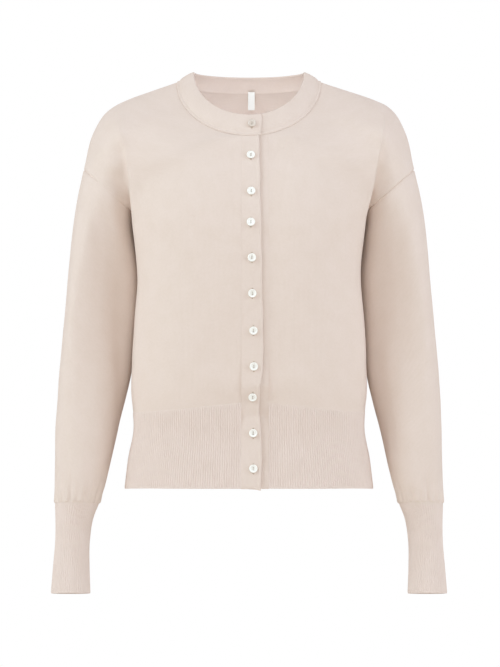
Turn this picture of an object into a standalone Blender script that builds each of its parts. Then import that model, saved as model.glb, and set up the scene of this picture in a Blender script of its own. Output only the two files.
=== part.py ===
"""Knitted button cardigan in its worn shape, hollow, as the pieces a maker sews together.

Frame: origin between the two high shoulder points at the neck, +Z up, the front faces -Y,
the wearer's right is -X. The tables are in millimetres, the meshes in metres.
"""

from collections import namedtuple

import bmesh
import bpy
import numpy as np

MM = 0.001

# ---- driving sizes, in millimetres ----
WALL = 2.2
BAND_WALL = 2.6
SEAM_GAP = 0.5
LAP = 3.2                    # how far the under layer of the front opening lies behind the top layer
RIB_PITCH = 3.3
RIB_HEIGHT = 0.9
RIB_WALL = 2.4
RIGHT, LEFT = -1, 1          # the wearer's sides, as the sign of X

BAND_SEAM_RIGHT = -10.5      # x where the right front is sewn to the buttonhole band
BAND_SEAM_LEFT = 26.5        # x where the left front is sewn to the button band
UNDER_BAND_EDGE = -3.5       # x of the button band's hidden free edge
HEM_BOTTOM = -566.0
CHEST_POWER = 3.2            # how squarely the front and back turn towards the sides
HEM_CENTRE_RISE = 15.0       # the rib seam is that much higher at the front opening than at the sides
RISE_TOP = -300.0            # height where that rise has died out
SIDE_SEAM_Y = 12.0
SIDE_SEAM_OUTWARD = (1.0, 0.04, 0.0)     # direction that the cloth faces at the side seam
EDGE_INSET = 0.035           # share of the half width from the widest place in to the corner
LEVEL_STEP = 1.25            # length given to one degree round the armhole, between two rows

# ---- the body below the underarm, one row for each height ----
BodyRow = namedtuple("BodyRow", "z half_width front back")
BODY_ROWS = (
    BodyRow(-463, 160.3, 107, 91),
    BodyRow(-440, 163.0, 111, 95),
    BodyRow(-395, 162.0, 113, 95),
    BodyRow(-336, 158.5, 116, 93),
    BodyRow(-275, 154.5, 119, 93),
    BodyRow(-235, 157.5, 120, 95),
    BodyRow(-206, 162.0, 119, 98),
)
HEM_ROWS = (
    BodyRow(HEM_BOTTOM, 171.5, 114, 101),
    BodyRow(-530, 166.6, 110, 96),
    BodyRow(-487, 159.6, 106, 90),
    BodyRow(-463, 160.3, 107, 91),
)

# ---- the body above it, one row for each angle round the armhole, 0 at the underarm ----
# edge: where the chest or back turns in towards the arm; fold and cap: on from there to the seam
UpperRow = namedtuple("UpperRow", "angle edge fold cap power bulge left_shift rise")
SHIFT_SHARES = (1.0, 0.6, 0.2)    # how far edge, fold and cap follow the left side's shift
FRONT_ROWS = (
    UpperRow(0, (157, -58, -205), (161, -36, -204), (156.5, -10, -199), 3.2, 0, 0, 0),
    UpperRow(30, (160.5, -60, -186), (161.5, -44, -186), (159.8, -31, -187), 3.1, 6, 2, 0),
    UpperRow(60, (163, -66, -160), (164, -52, -162), (164, -43, -166), 3.0, 12, 6, 0),
    UpperRow(90, (164, -70, -134), (166.5, -59, -138), (174, -53, -145), 2.6, 13, 10, 0),
    UpperRow(120, (168, -70, -104), (173, -64, -109), (189, -60, -121), 2.2, 11, 11, 0),
    UpperRow(150, (178, -60, -72), (187, -56, -79), (207, -43, -99), 1.8, 9, 7, 0),
    UpperRow(180, (184, 8, -33.5), (200, 9, -44.5), (218, 11, -72), 1.0, 0, 5.5, 1.5),
)
BACK_ROWS = (
    UpperRow(0, (146, 66, -205), (151, 46, -203), (154.5, 28, -197), 3.0, 0, 0, 0),
    UpperRow(30, (150, 74, -188), (155, 63, -188), (158.8, 54, -187), 3.0, 3, 0, 0),
    UpperRow(60, (153, 82, -165), (160, 76, -167), (167, 72, -170), 2.8, 12, 0, 0),
    UpperRow(90, (156, 87, -136), (166, 83, -141), (178, 80.5, -148), 2.5, 14, 0, 0),
    UpperRow(120, (162, 86, -104), (173, 81, -110), (191, 77, -121), 2.2, 13, 0, 0),
    UpperRow(150, (174, 70, -68), (185, 65, -75), (205, 58, -94), 1.6, 8, 0, 0),
    UpperRow(180, (184, 8, -33.5), (200, 9, -44.5), (218, 11, -72), 1.0, 0, 5.5, 1.5),
)

# ---- centre front and centre back depth by height ----
CENTRE_FRONT = ((-206, 119), (-166, 111.5), (-126, 99.5), (-86, 84))
CENTRE_BACK = ((-206, 98), (-167, 101), (-128, 100), (-90, 95), (-51, 86), (-12, 73))

# ---- armhole ring, outward x ----
ARMHOLE_TOP = np.array((232.0, 12.0, -125.0))
ARMHOLE_BOTTOM = np.array((158.0, 12.0, -190.0))
ARMHOLE_HALF_DEPTH = 66.0
ARM_TURN = (0.0, 47.0, 75.0)      # how steeply the cloth runs down past the seam: bottom, front, top
ARM_STEPS = 24

# ---- sleeve, one row for each ring: outer and inner point seen from the front, front and back y, ----
# and the angle round the arm of its ridge, the line that stands furthest forward
SleeveRow = namedtuple("SleeveRow", "outer_x outer_z inner_x inner_z front_y back_y power lean ridge")
SLEEVE_ROWS = (
    SleeveRow(239.5, -160, 159.8, -209, -54, 77, 2.1, 0, 96),
    SleeveRow(246, -200, 156.5, -237, -54, 72, 2.2, 0, 108),
    SleeveRow(251, -250, 152.3, -270, -54, 65, 2.2, 0, 120),
    SleeveRow(255.3, -305, 154.2, -312, -55, 59, 2.2, 0.03, 127),
    SleeveRow(259.5, -360, 158.6, -362, -57, 53, 2.2, 0.07, 127),
    SleeveRow(264, -410, 163.4, -410, -60, 46, 2.2, 0.10, 120),
    SleeveRow(267, -450, 172, -448, -63, 39, 2.2, 0.13, 110),
    SleeveRow(269.6, -490, 182.7, -489, -66, 31, 2.2, 0.14, 100),
    SleeveRow(269.4, -530, 191.8, -530, -69, 22, 2.2, 0.14, 94),
    SleeveRow(269, -562, 199.5, -562, -70, 13, 2.2, 0.14, 90),
    SleeveRow(268.6, -577, 204.5, -577, -69.5, 8, 2.1, 0.14, 90),
    SleeveRow(268.4, -590.5, 208.3, -590.5, -68, 4, 2.0, 0.14, 90),
)
CUFF_ROWS = (
    SleeveRow(268.2, -591, 208.8, -591, -67, 3, 2.0, 0.14, 90),
    SleeveRow(267.7, -605, 214.3, -605, -66, 0, 2.0, 0.14, 90),
    SleeveRow(267.6, -640, 220.4, -640, -66, -8, 2.0, 0.14, 90),
    SleeveRow(270.0, -675, 220.4, -675, -71, -12, 2.0, 0.14, 90),
    SleeveRow(272.6, -713, 218.6, -713, -79, -16, 2.0, 0.14, 90),
)
GATHER_DEPTH = 1.6
CUFF_RIBS = 54

# ---- soft troughs of the sleeve, from one ring number and angle round the arm to another ----
SleeveFold = namedtuple("SleeveFold", "ring angle end_ring end_angle half_width depth")
RIGHT_SLEEVE_FOLDS = (
    SleeveFold(0.4, 108, 8.0, 14, 27, 6.0),
    SleeveFold(1.0, 222, 5.4, 335, 26, 4.0),
    SleeveFold(6.3, 150, 10.2, 118, 22, 2.6),
    SleeveFold(5.2, 300, 9.6, 250, 24, 3.0),
)
LEFT_SLEEVE_FOLDS = (
    SleeveFold(0.3, 80, 5.8, 70, 28, 5.4),
    SleeveFold(3.4, 66, 9.2, 20, 26, 4.6),
    SleeveFold(1.4, 24, 5.8, 18, 26, 4.2),
    SleeveFold(1.4, 238, 6.0, 322, 24, 3.7),
    SleeveFold(7.0, 174, 10.8, 152, 21, 2.4),
    SleeveFold(5.6, 292, 9.8, 246, 24, 3.0),
)

# ---- neckline seam and the neckband's upper edge, as ellipses round the neck ----
NeckRing = namedtuple("NeckRing", "half_width side_y front_y back_y side_z front_drop back_drop")
NECK_SEAM = NeckRing(101.0, 8.0, -84.0, 73.0, -2.0, 83.5, 10.0)
NECK_EDGE = NeckRing(77.3, 8.0, -72.0, 62.0, 12.6, 68.0, 1.5)
NECKBAND_CROWN = 1.6
NECKBAND_END = 16.0          # x of its free end on the top layer, at the neckline seam
END_LEAN = 4.2               # degrees that the end's upper corner lies further on, so that it stands upright
END_REACH = 12.0             # degrees over which that fades
INSIDE_LAP = 0.6             # how far the neckband's inner layer reaches down past the seam
BODY_MIDDLE = np.array((0.0, 0.0, -200.0))
FRONT_NECK_STEPS = 8
BACK_NECK_STEPS = 7
FRONT_NECK_START = 60.0      # armhole angle whose row starts at the neck pit
BACK_NECK_START = 75.0

# ---- front opening, one row for each height: free edge of the top band ----
PlacketRow = namedtuple("PlacketRow", "z free_edge")
PLACKET_ROWS = (
    PlacketRow(-566, 15.5),
    PlacketRow(-537, 17.0),
    PlacketRow(-489, 16.4),
    PlacketRow(-452, 13.8),
    PlacketRow(-400, 18.6),
    PlacketRow(-300, 18.0),
    PlacketRow(-200, 16.4),
    PlacketRow(-113, 14.6),
    PlacketRow(-60, 14.2),
)
BUTTON_RADIUS = 5.7
BUTTON_THICKNESS = 2.6
BUTTON_SIDES = 12
BUTTON_LIFT = 0.4
BUTTON_PROFILE = ((0.78, 0.0), (1.0, 0.35), (0.93, 1.0), (0.66, 0.72))   # shares of radius, of thickness
ButtonRow = namedtuple("ButtonRow", "x z")
BUTTON_ROWS = (
    ButtonRow(4.0, -69.2), ButtonRow(2.6, -112.9), ButtonRow(3.1, -162.8), ButtonRow(2.6, -205.0),
    ButtonRow(3.9, -252.7), ButtonRow(4.6, -300.8), ButtonRow(6.1, -351.0), ButtonRow(6.6, -399.3),
    ButtonRow(5.0, -440.6), ButtonRow(5.7, -489.6), ButtonRow(5.9, -537.3),
)
LABEL_WIDTH, LABEL_LENGTH, LABEL_WALL = 9.4, 26.0, 1.0
LABEL_X, LABEL_TOP = 3.3, -9.5
LABEL_GAP = 3.2              # from the back's inner face to the label
NECK_FRONT = (-60.0, -74.5)  # height and depth of the neckband's upper edge at the centre front

# ---- how finely the pieces are divided ----
CHEST_COLUMNS = 9
TURN_COLUMNS = (2, 2, 3)     # edge to fold, fold to cap, cap to seam
BODY_LEVELS = (-440, -405, -360, -315, -275, -240)
UPPER_STEPS = ARM_STEPS // 2
BAND_LEVELS = 25
BAND_COLUMNS = 3
BAND_TOP = -86.5
SLEEVE_LEVELS = (0, 0.5, 1, 1.5, 2, 3, 4, 5, 6, 7, 8, 9, 10, 11, 12)
RIBS_PER_INNER_COLUMN = 3    # the plain inside of a rib is this much coarser than its ribs

# ---- knit colours ----
KNIT_COLOUR = (0.76, 0.68, 0.61)
RIB_COLOUR = (0.72, 0.63, 0.56)
PEARL_COLOUR = (0.86, 0.84, 0.80)
LABEL_COLOUR = (0.90, 0.90, 0.88)


# ---------------------------------------------------------------- curves and grids

def unit(vectors):
    """Vectors scaled to length 1."""
    vectors = np.asarray(vectors, float)
    return vectors / np.maximum(np.linalg.norm(vectors, axis=-1, keepdims=True), 1e-12)


def spline(knots, values, at):
    """Smooth curve through values at rising knots, read at the given places."""
    knots, values, at = (np.asarray(a, float) for a in (knots, values, at))
    slopes = np.gradient(values, knots, axis=0)
    i = np.clip(np.searchsorted(knots, at, side="right") - 1, 0, len(knots) - 2)
    step = knots[i + 1] - knots[i]
    t = (at - knots[i]) / step
    shape = (-1,) + (1,) * (values.ndim - 1)
    t, step = t.reshape(shape), step.reshape(shape)
    return (
        values[i] * (2 * t**3 - 3 * t**2 + 1)
        + slopes[i] * step * (t**3 - 2 * t**2 + t)
        + values[i + 1] * (3 * t**2 - 2 * t**3)
        + slopes[i + 1] * step * (t**3 - t**2)
    )


def read(table, column, z):
    """A column of a table of heights, read smoothly at height z."""
    rows = sorted(table, key=lambda row: row[0])
    return spline([row[0] for row in rows], [row[column] for row in rows], np.atleast_1d(z))


def chord_knots(points):
    """Running length along points."""
    return np.concatenate(([0], np.cumsum(np.linalg.norm(np.diff(points, axis=0), axis=1))))


def grid_normals(grid, inside):
    """Unit normals of a grid of points, facing away from the inside points."""
    along = np.gradient(grid, axis=0)
    across = np.gradient(grid, axis=1)
    normals = unit(np.cross(along, across))
    towards = np.sign(np.sum(normals * (grid - inside), axis=-1, keepdims=True))
    return normals * np.sign(np.sum(towards)) if abs(np.mean(towards)) > 0.5 else normals * towards


# ---------------------------------------------------------------- solids from grids

def new_object(name, vertices, faces, material, weld=False):
    """One object from vertices in millimetres; its faces are turned outward."""
    mesh = bpy.data.meshes.new(name)
    mesh.from_pydata([tuple(v) for v in np.asarray(vertices) * MM], [], faces)
    work = bmesh.new()
    work.from_mesh(mesh)
    if weld:
        bmesh.ops.remove_doubles(work, verts=work.verts, dist=0.005 * MM)
    bmesh.ops.recalc_face_normals(work, faces=work.faces)
    work.to_mesh(mesh)
    work.free()
    mesh.shade_smooth()
    mesh.set_sharp_from_angle(angle=0.7)
    mesh.materials.append(material)
    made = bpy.data.objects.new(name, mesh)
    bpy.context.scene.collection.objects.link(made)
    return made


def zip_strip(first, second):
    """Faces between two rows of vertex numbers side by side; the second may be coarser."""
    if len(first) == len(second):
        return [(first[i], first[i + 1], second[i + 1], second[i]) for i in range(len(first) - 1)]
    faces, step, j = [], (len(first) - 1) // (len(second) - 1), 0
    for i in range(len(first) - 1):
        if i == j * step + step // 2:
            faces.append((first[i], second[j + 1], second[j]))
            j += 1
        faces.append((first[i], first[i + 1], second[j]))
    return faces


def quads(ids, tube):
    """Faces of a grid of vertex numbers; a tube closes round its second way."""
    if tube:
        ids = np.column_stack((ids, ids[:, :1]))
    return [
        (ids[r, c], ids[r, c + 1], ids[r + 1, c + 1], ids[r + 1, c])
        for r in range(ids.shape[0] - 1)
        for c in range(ids.shape[1] - 1)
    ]


def wall(name, outer, inner, material, tube=False):
    """A closed cloth wall between an outer and an inner grid, which may be coarser across."""
    ids_out = np.arange(outer.shape[0] * outer.shape[1]).reshape(outer.shape[:2])
    ids_in = np.arange(inner.shape[0] * inner.shape[1]).reshape(inner.shape[:2]) + ids_out.size
    faces = quads(ids_out, tube) + [f[::-1] for f in quads(ids_in, tube)]
    for row in (0, -1):
        rim_out, rim_in = ids_out[row], ids_in[row]
        if tube:
            rim_out, rim_in = np.append(rim_out, rim_out[0]), np.append(rim_in, rim_in[0])
        faces += zip_strip([int(v) for v in rim_out], [int(v) for v in rim_in])
    if not tube:
        for column in (0, -1):
            faces += zip_strip([int(v) for v in ids_out[:, column]], [int(v) for v in ids_in[:, column]])
    faces = [tuple(int(v) for v in face) for face in faces]
    vertices = np.concatenate((outer.reshape(-1, 3), inner.reshape(-1, 3)))
    return new_object(name, vertices, faces, material)


def material_of(name, colour, roughness):
    """A plain material for one kind of cloth or trim."""
    made = bpy.data.materials.new(name)
    made.use_nodes = True
    shader = made.node_tree.nodes["Principled BSDF"]
    shader.inputs["Base Color"].default_value = (*colour, 1.0)
    shader.inputs["Roughness"].default_value = roughness
    made.diffuse_color = (*colour, 1.0)
    return made


# ---------------------------------------------------------------- body

def neck_point(ring, angle):
    """Point on a neck ring; angle 0 is the front, 90 the wearer's right, 180 the back, in degrees."""
    a = np.radians(np.atleast_1d(angle))
    front = np.cos(a) > 0
    reach = np.where(front, ring.side_y - ring.front_y, ring.back_y - ring.side_y)
    drop = np.where(front, ring.front_drop, ring.back_drop)
    return np.column_stack((
        -ring.half_width * np.sin(a),
        ring.side_y - reach * np.cos(a),
        ring.side_z - drop * np.abs(np.cos(a)),
    ))


def neck_seam_frame(angle):
    """Cloth direction up across the neckline seam, and its outward normal, at ring angles."""
    up = unit(neck_point(NECK_EDGE, angle) - neck_point(NECK_SEAM, angle))
    along = unit(neck_point(NECK_SEAM, np.asarray(angle) + 1) - neck_point(NECK_SEAM, np.asarray(angle) - 1))
    normal = unit(np.cross(up, along))
    facing = np.sign(np.sum(normal * (neck_point(NECK_SEAM, angle) - BODY_MIDDLE), axis=1, keepdims=True))
    return up, normal * facing


def neck_start_angle(seam_x):
    """Neck ring angle, from the centre front, where a line at x meets the neckline seam."""
    return np.degrees(np.arcsin(abs(seam_x) / NECK_SEAM.half_width))


def lap(x):
    """How far the left side's front lies behind the top layer, at distance x from the centre."""
    ease = np.clip((62.0 - x) / 34.0, 0, 1)
    return LAP * ease**2 * (3 - 2 * ease)


def centre_point(angle, seam_x, front):
    """Where an upper row starts: on the opening or centre back, then along the neckline."""
    table, start = (CENTRE_FRONT, FRONT_NECK_START) if front else (CENTRE_BACK, BACK_NECK_START)
    if angle < start - 1e-6:
        first, last = table[0][0], neck_z(seam_x) if front else table[-1][0]
        z = first + (last - first) * angle / start
        depth = read(table, 1, z)[0]
        return np.array((abs(seam_x), -depth if front else depth, z))
    share = (angle - start) / (180.0 - start)
    if front:
        first = neck_start_angle(seam_x)
        point = neck_point(NECK_SEAM, first + (90.0 - first) * share)[0]
    else:
        point = neck_point(NECK_SEAM, 180.0 - 90.0 * share)[0]
    return np.array((abs(point[0]), point[1], point[2]))


def neck_z(seam_x):
    """Height of the neckline seam at x, at the front."""
    return neck_point(NECK_SEAM, neck_start_angle(seam_x))[0, 2]


def arm_ring(angle, back=False):
    """Point on the armhole seam, outward x; angle 0 at the underarm, 180 at the top."""
    a = np.radians(angle)
    centre = (ARMHOLE_TOP + ARMHOLE_BOTTOM) / 2
    reach = (ARMHOLE_BOTTOM - ARMHOLE_TOP) / 2
    side = ARMHOLE_HALF_DEPTH * np.sin(a) * (1 if back else -1)
    return centre + reach * np.cos(a) + np.array((0.0, side, 0.0))


def arm_frame(angle, back=False):
    """Cloth direction down the arm across the armhole seam, and its outward normal."""
    turn = np.radians(np.interp(angle, (0, 90, 180), ARM_TURN))
    down = np.array((np.cos(turn), 0.0, -np.sin(turn)))
    along = unit(arm_ring(angle + 1, back) - arm_ring(angle - 1, back))
    down = unit(down - along * np.dot(down, along))
    normal = unit(np.cross(down, along))
    return down, normal * (-1 if back else 1)


def row_points(centre, edge, fold, cap, seam, power, bulge, front, rise=0.0):
    """One row from the centre to the seam: the chest, then the turn into the fold and on."""
    share = (np.arange(CHEST_COLUMNS + 1) / CHEST_COLUMNS) ** 0.8
    chest = centre + (edge - centre) * share[:, None]
    chest[:, 1] = centre[1] + (edge[1] - centre[1]) * share**power
    chest[:, 1] += np.sin(np.pi * share) * bulge * (-1 if front else 1)
    chest[:, 2] += np.sin(np.pi * share**2) * rise
    turn = np.array((chest[-2], edge, fold, cap, seam))
    knots = chord_knots(turn)
    places = np.concatenate([
        knots[i + 1] + (knots[i + 2] - knots[i + 1]) * np.arange(1, count + 1) / count
        for i, count in enumerate(TURN_COLUMNS)
    ])
    return np.concatenate((chest, spline(knots, turn, places)))


def body_row(row, seam_x, front):
    """A row of the body below the underarm, from the centre to the side seam, at one height."""
    edge_x = row.half_width * (1 - EDGE_INSET)
    rise = HEM_CENTRE_RISE * np.clip((row.z - RISE_TOP) / (BODY_ROWS[0].z - RISE_TOP), 0, 1) ** 2
    if front:
        centre = np.array((abs(seam_x), -row.front, row.z + rise))
        edge = np.array((edge_x, -58.0, row.z))
        fold = np.array((row.half_width, -34.0, row.z))
        cap = np.array((row.half_width - 2.5, -12.0, row.z))
    else:
        centre = np.array((abs(seam_x), row.back, row.z))
        edge = np.array((row.half_width - 16.0, 66.0, row.z))
        fold = np.array((row.half_width - 11.0, 46.0, row.z))
        cap = np.array((row.half_width - 7.5, 28.0, row.z))
    seam = np.array((row.half_width - 6.0, SIDE_SEAM_Y, row.z))
    return row_points(centre, edge, fold, cap, seam, CHEST_POWER, 0, front)


def upper_row(row, seam_x, side, front):
    """A row of the body above the underarm, from the opening or neckline to the armhole."""
    shift = np.array((row.left_shift if side == LEFT else 0.0, 0.0, 0.0))
    edge, fold, cap = (
        np.array(point, float) + shift * share
        for point, share in zip((row.edge, row.fold, row.cap), SHIFT_SHARES)
    )
    centre = centre_point(row.angle, seam_x, front)
    seam = arm_ring(row.angle, not front)
    return row_points(centre, edge, fold, cap, seam, row.power, row.bulge, front, row.rise)


def side_rows(seam_x, side, front):
    """Knots and rows of one quarter of the body, from the hem seam to the shoulder."""
    rows = [body_row(row, seam_x, front) for row in BODY_ROWS[:-1]]
    knots = [row.z for row in BODY_ROWS[:-1]]
    for row in FRONT_ROWS if front else BACK_ROWS:
        rows.append(upper_row(row, seam_x, side, front))
        knots.append(BODY_ROWS[-1].z + LEVEL_STEP * row.angle)
    return np.array(knots), np.array(rows)


def half_body(side):
    """Front and back grids of one side, outward x, with their normals."""
    seam_x = BAND_SEAM_RIGHT if side == RIGHT else BAND_SEAM_LEFT
    front_knots, front = side_rows(seam_x, side, True)
    back_knots, back = side_rows(0.0, side, False)
    top = front_knots[-1]
    knots = np.concatenate((front_knots, 2 * top - back_knots[-2::-1]))
    rows = np.concatenate((front, back[-2::-1]))
    angles = np.arange(UPPER_STEPS + 1) * 180.0 / UPPER_STEPS
    levels = np.concatenate(((BODY_ROWS[0].z,), BODY_LEVELS, BODY_ROWS[-1].z + LEVEL_STEP * angles))
    places = np.concatenate((levels, 2 * top - levels[-2::-1]))
    grid = spline(knots, rows, places)
    first = len(BODY_LEVELS) + 1
    count = len(levels)
    for i, angle in enumerate(angles):
        for at, is_front in ((first + i, True), (len(places) - 1 - first - i, False)):
            grid[at, -1] = arm_ring(angle, not is_front)
            grid[at, 0] = centre_point(angle, seam_x if is_front else 0.0, is_front)
    if side == LEFT:
        grid[:count, :, 1] += lap(grid[:count, :, 0])
    inside = np.stack((grid[..., 0] * 0.45, np.full(grid.shape[:2], 5.0), grid[..., 2] - 60.0), axis=-1)
    normals = grid_normals(grid, inside)
    for i, angle in enumerate(angles):
        for at, is_front in ((first + i, True), (len(places) - 1 - first - i, False)):
            normals[at, -1] = arm_frame(angle, not is_front)[1]
    halves = grid[:count], normals[:count], grid[count - 1:][::-1], normals[count - 1:][::-1]
    return [half.copy() for half in halves]


def trim_panel(grid, normals, front, side):
    """Opens the seam gaps round a panel and sets the wall's direction at its edges."""
    first = len(BODY_LEVELS) + 1
    count = len(grid)
    normals[0, :, 2] = 0.0
    normals[0] = unit(normals[0])
    normals[:first, -1] = unit(SIDE_SEAM_OUTWARD)
    grid[0, :, 2] += SEAM_GAP / 2
    edge, beside = grid[:first + 1, -1].copy(), grid[:first + 1, -2]
    grid[:first + 1, -1] = edge + unit(beside - edge) * SEAM_GAP / 2
    for i in range(first, count):
        angle = (i - first) * 180.0 / UPPER_STEPS
        down, normal = arm_frame(angle, not front)
        grid[i, -1] -= down * SEAM_GAP / 2
        start = FRONT_NECK_START if front else BACK_NECK_START
        if angle > start - 1e-6:
            point = grid[i, 0] * np.array((-1, 1, 1))
            share = (angle - start) / (180.0 - start)
            seam_x = BAND_SEAM_RIGHT if side == RIGHT else BAND_SEAM_LEFT
            low = neck_start_angle(seam_x)
            ring_angle = low + (90.0 - low) * share if front else 180.0 - 90.0 * share
            up, out = neck_seam_frame(ring_angle)
            point = point - up[0] * SEAM_GAP / 2
            grid[i, 0] = point * np.array((-1, 1, 1))
            normals[i, 0] = out[0] * np.array((-1, 1, 1))
    if front:
        opening = slice(0, first + int(FRONT_NECK_START / (180.0 / UPPER_STEPS)) + 1)
        grid[opening, 0, 0] += SEAM_GAP / 2
        normals[opening, 0, 0] = 0.0
        normals[opening, 0] = unit(normals[opening, 0])
    grid[-1] += unit(grid[-2] - grid[-1]) * SEAM_GAP / 2
    return grid, normals


def wall_parts(outer, inner, open_from):
    """Vertices and faces of one half of the back, open along the centre below a row."""
    ids_out = np.arange(outer.shape[0] * outer.shape[1]).reshape(outer.shape[:2])
    ids_in = ids_out + ids_out.size
    faces = quads(ids_out, False) + [face[::-1] for face in quads(ids_in, False)]
    for rim_out, rim_in in (
        (ids_out[0], ids_in[0]),
        (ids_out[-1], ids_in[-1]),
        (ids_out[:, -1], ids_in[:, -1]),
        (ids_out[open_from:, 0], ids_in[open_from:, 0]),
    ):
        faces += zip_strip(rim_out.tolist(), rim_in.tolist())
    return np.concatenate((outer.reshape(-1, 3), inner.reshape(-1, 3))), faces


def make_body(knit):
    """The two fronts and the back."""
    vertices, faces = np.zeros((0, 3)), []
    neck_row = len(BODY_LEVELS) + 1 + int(BACK_NECK_START / (180.0 / UPPER_STEPS))
    for side, name in ((RIGHT, "right_front"), (LEFT, "left_front")):
        front, front_normals, back, back_normals = half_body(side)
        front, front_normals = trim_panel(front, front_normals, True, side)
        back, back_normals = trim_panel(back, back_normals, False, side)
        turn = np.array((side, 1, 1))
        wall(name, front * turn, (front - front_normals * WALL) * turn, knit)
        back_normals[:neck_row + 1, 0, 0] = 0.0
        inner = back - unit(back_normals) * WALL
        back[:neck_row + 1, 0, 0] = 0.0
        inner[:neck_row + 1, 0, 0] = 0.0
        half_vertices, half_faces = wall_parts(back * turn, inner * turn, neck_row)
        faces += [tuple(int(v) + len(vertices) for v in face) for face in half_faces]
        vertices = np.concatenate((vertices, half_vertices))
    new_object("back", vertices, faces, knit, weld=True)


# ---------------------------------------------------------------- sleeves and cuffs

def sleeve_ring(row, angles):
    """Outer points of a sleeve ring, outward x; angle 0 at the inner arm, 90 at the front."""
    a = np.radians(angles)
    inner = np.array((row.inner_x, row.inner_z))
    outer = np.array((row.outer_x, row.outer_z))
    middle, reach = (inner + outer) / 2, (inner - outer) / 2
    turned = np.radians(np.interp(angles, (0, row.ridge, 180, 360), (0, 90, 180, 360)))
    across = np.sign(np.cos(a)) * np.abs(np.cos(a)) ** (2 / row.power)
    deep = np.sign(np.sin(turned)) * np.abs(np.sin(turned)) ** (2 / row.power)
    half_depth = (row.back_y - row.front_y) / 2
    y = (row.back_y + row.front_y) / 2 - half_depth * deep
    xz = middle + reach * across[:, None]
    lean = row.lean * half_depth * deep
    return np.column_stack((xz[:, 0], y, xz[:, 1] + lean))


def tube_normals(rings):
    """Outward normals of rings that close round."""
    along = np.gradient(rings, axis=0)
    across = np.roll(rings, -1, axis=1) - np.roll(rings, 1, axis=1)
    normals = unit(np.cross(along, across))
    centre = rings.mean(axis=1, keepdims=True)
    return normals * np.sign(np.sum(normals * (rings - centre)))


def fold_depth(folds, ring, angles):
    """How deep a sleeve's soft troughs are at angles round one ring."""
    depth = np.zeros(len(angles))
    for fold in folds:
        along = np.clip((ring - fold.ring) / (fold.end_ring - fold.ring), 0, 1)
        middle = fold.angle + (fold.end_angle - fold.angle) * along
        away = (angles - middle + 180.0) % 360.0 - 180.0
        depth += fold.depth * np.sin(np.pi * along) ** 0.8 * np.exp(-(away / fold.half_width) ** 2)
    return depth


def make_sleeve(side, name, knit):
    """A sleeve from the armhole seam to its gathered end at the cuff."""
    angles = np.arange(ARM_STEPS) * 360.0 / ARM_STEPS
    seam, seam_normals = [], []
    for angle in angles:
        back = angle > 180.0
        folded = 360.0 - angle if back else angle
        down, normal = arm_frame(folded, back)
        seam.append(arm_ring(folded, back) + down * SEAM_GAP / 2)
        seam_normals.append(normal)
    table = np.array([seam] + [sleeve_ring(row, angles) for row in SLEEVE_ROWS])
    rings = spline(np.arange(len(table)), table, SLEEVE_LEVELS)
    normals = tube_normals(rings)
    normals[0] = seam_normals
    folds = RIGHT_SLEEVE_FOLDS if side == RIGHT else LEFT_SLEEVE_FOLDS
    troughs = np.array([fold_depth(folds, level, angles) for level in SLEEVE_LEVELS])
    rings -= normals * troughs[..., None]
    wave = np.where(np.arange(ARM_STEPS) % 2 == 0, 1.0, -1.0)[:, None] * GATHER_DEPTH
    rings[-2] += normals[-2] * wave
    rings[-1] += normals[-1] * wave * 0.5
    rings[-1, :, 2] += SEAM_GAP / 2
    end_plane = unit(np.array((0.0, SLEEVE_ROWS[-1].lean, 1.0)))
    normals[-1] = unit(normals[-1] - np.sum(normals[-1] * end_plane, axis=1, keepdims=True) * end_plane)
    turn = np.array((side, 1, 1))
    wall(name, rings * turn, (rings - normals * WALL) * turn, knit, tube=True)


def make_cuff(side, name, rib):
    """A rib tube: ribs stand out from the outer points, the inside is plain."""
    count = CUFF_RIBS * 2
    angles = np.arange(count) * 360.0 / count
    rings = np.array([sleeve_ring(row, angles) for row in CUFF_ROWS])
    rings[0, :, 2] -= SEAM_GAP / 2
    plane = unit(np.array((0.0, CUFF_ROWS[0].lean, 1.0)))
    normals = tube_normals(rings)
    normals = unit(normals - np.sum(normals * plane, axis=-1, keepdims=True) * plane)
    ribs = (np.arange(count) % 2)[:, None] * RIB_HEIGHT
    inner = (rings - normals * RIB_WALL)[:, ::2 * RIBS_PER_INNER_COLUMN]
    turn = np.array((side, 1, 1))
    wall(name, (rings + normals * (ribs - RIB_HEIGHT / 2)) * turn, inner * turn, rib, tube=True)


# ---------------------------------------------------------------- rib hem

def even_points(line, count):
    """count points at even distances along a line of points."""
    knots = chord_knots(line)
    places = np.linspace(0, knots[-1], count)
    return np.column_stack([np.interp(places, knots, line[:, i]) for i in range(3)])


def hem_line(row, seam_x, side, front):
    """One height of the rib hem, from the opening or centre back to the side seam."""
    line = body_row(row, seam_x, front)
    if row is not HEM_ROWS[-1]:
        line[:, 2] = row.z
    if side == LEFT and front:
        line[:, 1] += lap(line[:, 0])
    return line


def rib_wall(name, lines, material):
    """A ribbed wall over lines of points, from the bottom up."""
    length = chord_knots(lines[0])[-1]
    ribs = RIBS_PER_INNER_COLUMN * int(round(length / RIB_PITCH / RIBS_PER_INNER_COLUMN))
    count = ribs * 2 + 1
    rings = np.array([even_points(line, count) for line in lines])
    inside = np.array((0.0, 5.0, 0.0)) + rings * np.array((0.2, 0.0, 1.0))
    normals = grid_normals(rings, inside)
    normals[..., 2] = 0.0
    normals = unit(normals)
    rings[0, :, 2] = HEM_BOTTOM
    rings[-1, :, 2] -= SEAM_GAP / 2
    raised = (np.arange(count) % 2)[:, None] * RIB_HEIGHT
    inner = (rings - normals * RIB_WALL)[:, ::2 * RIBS_PER_INNER_COLUMN]
    wall(name, rings + normals * (raised - RIB_HEIGHT / 2), inner, material)


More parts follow.
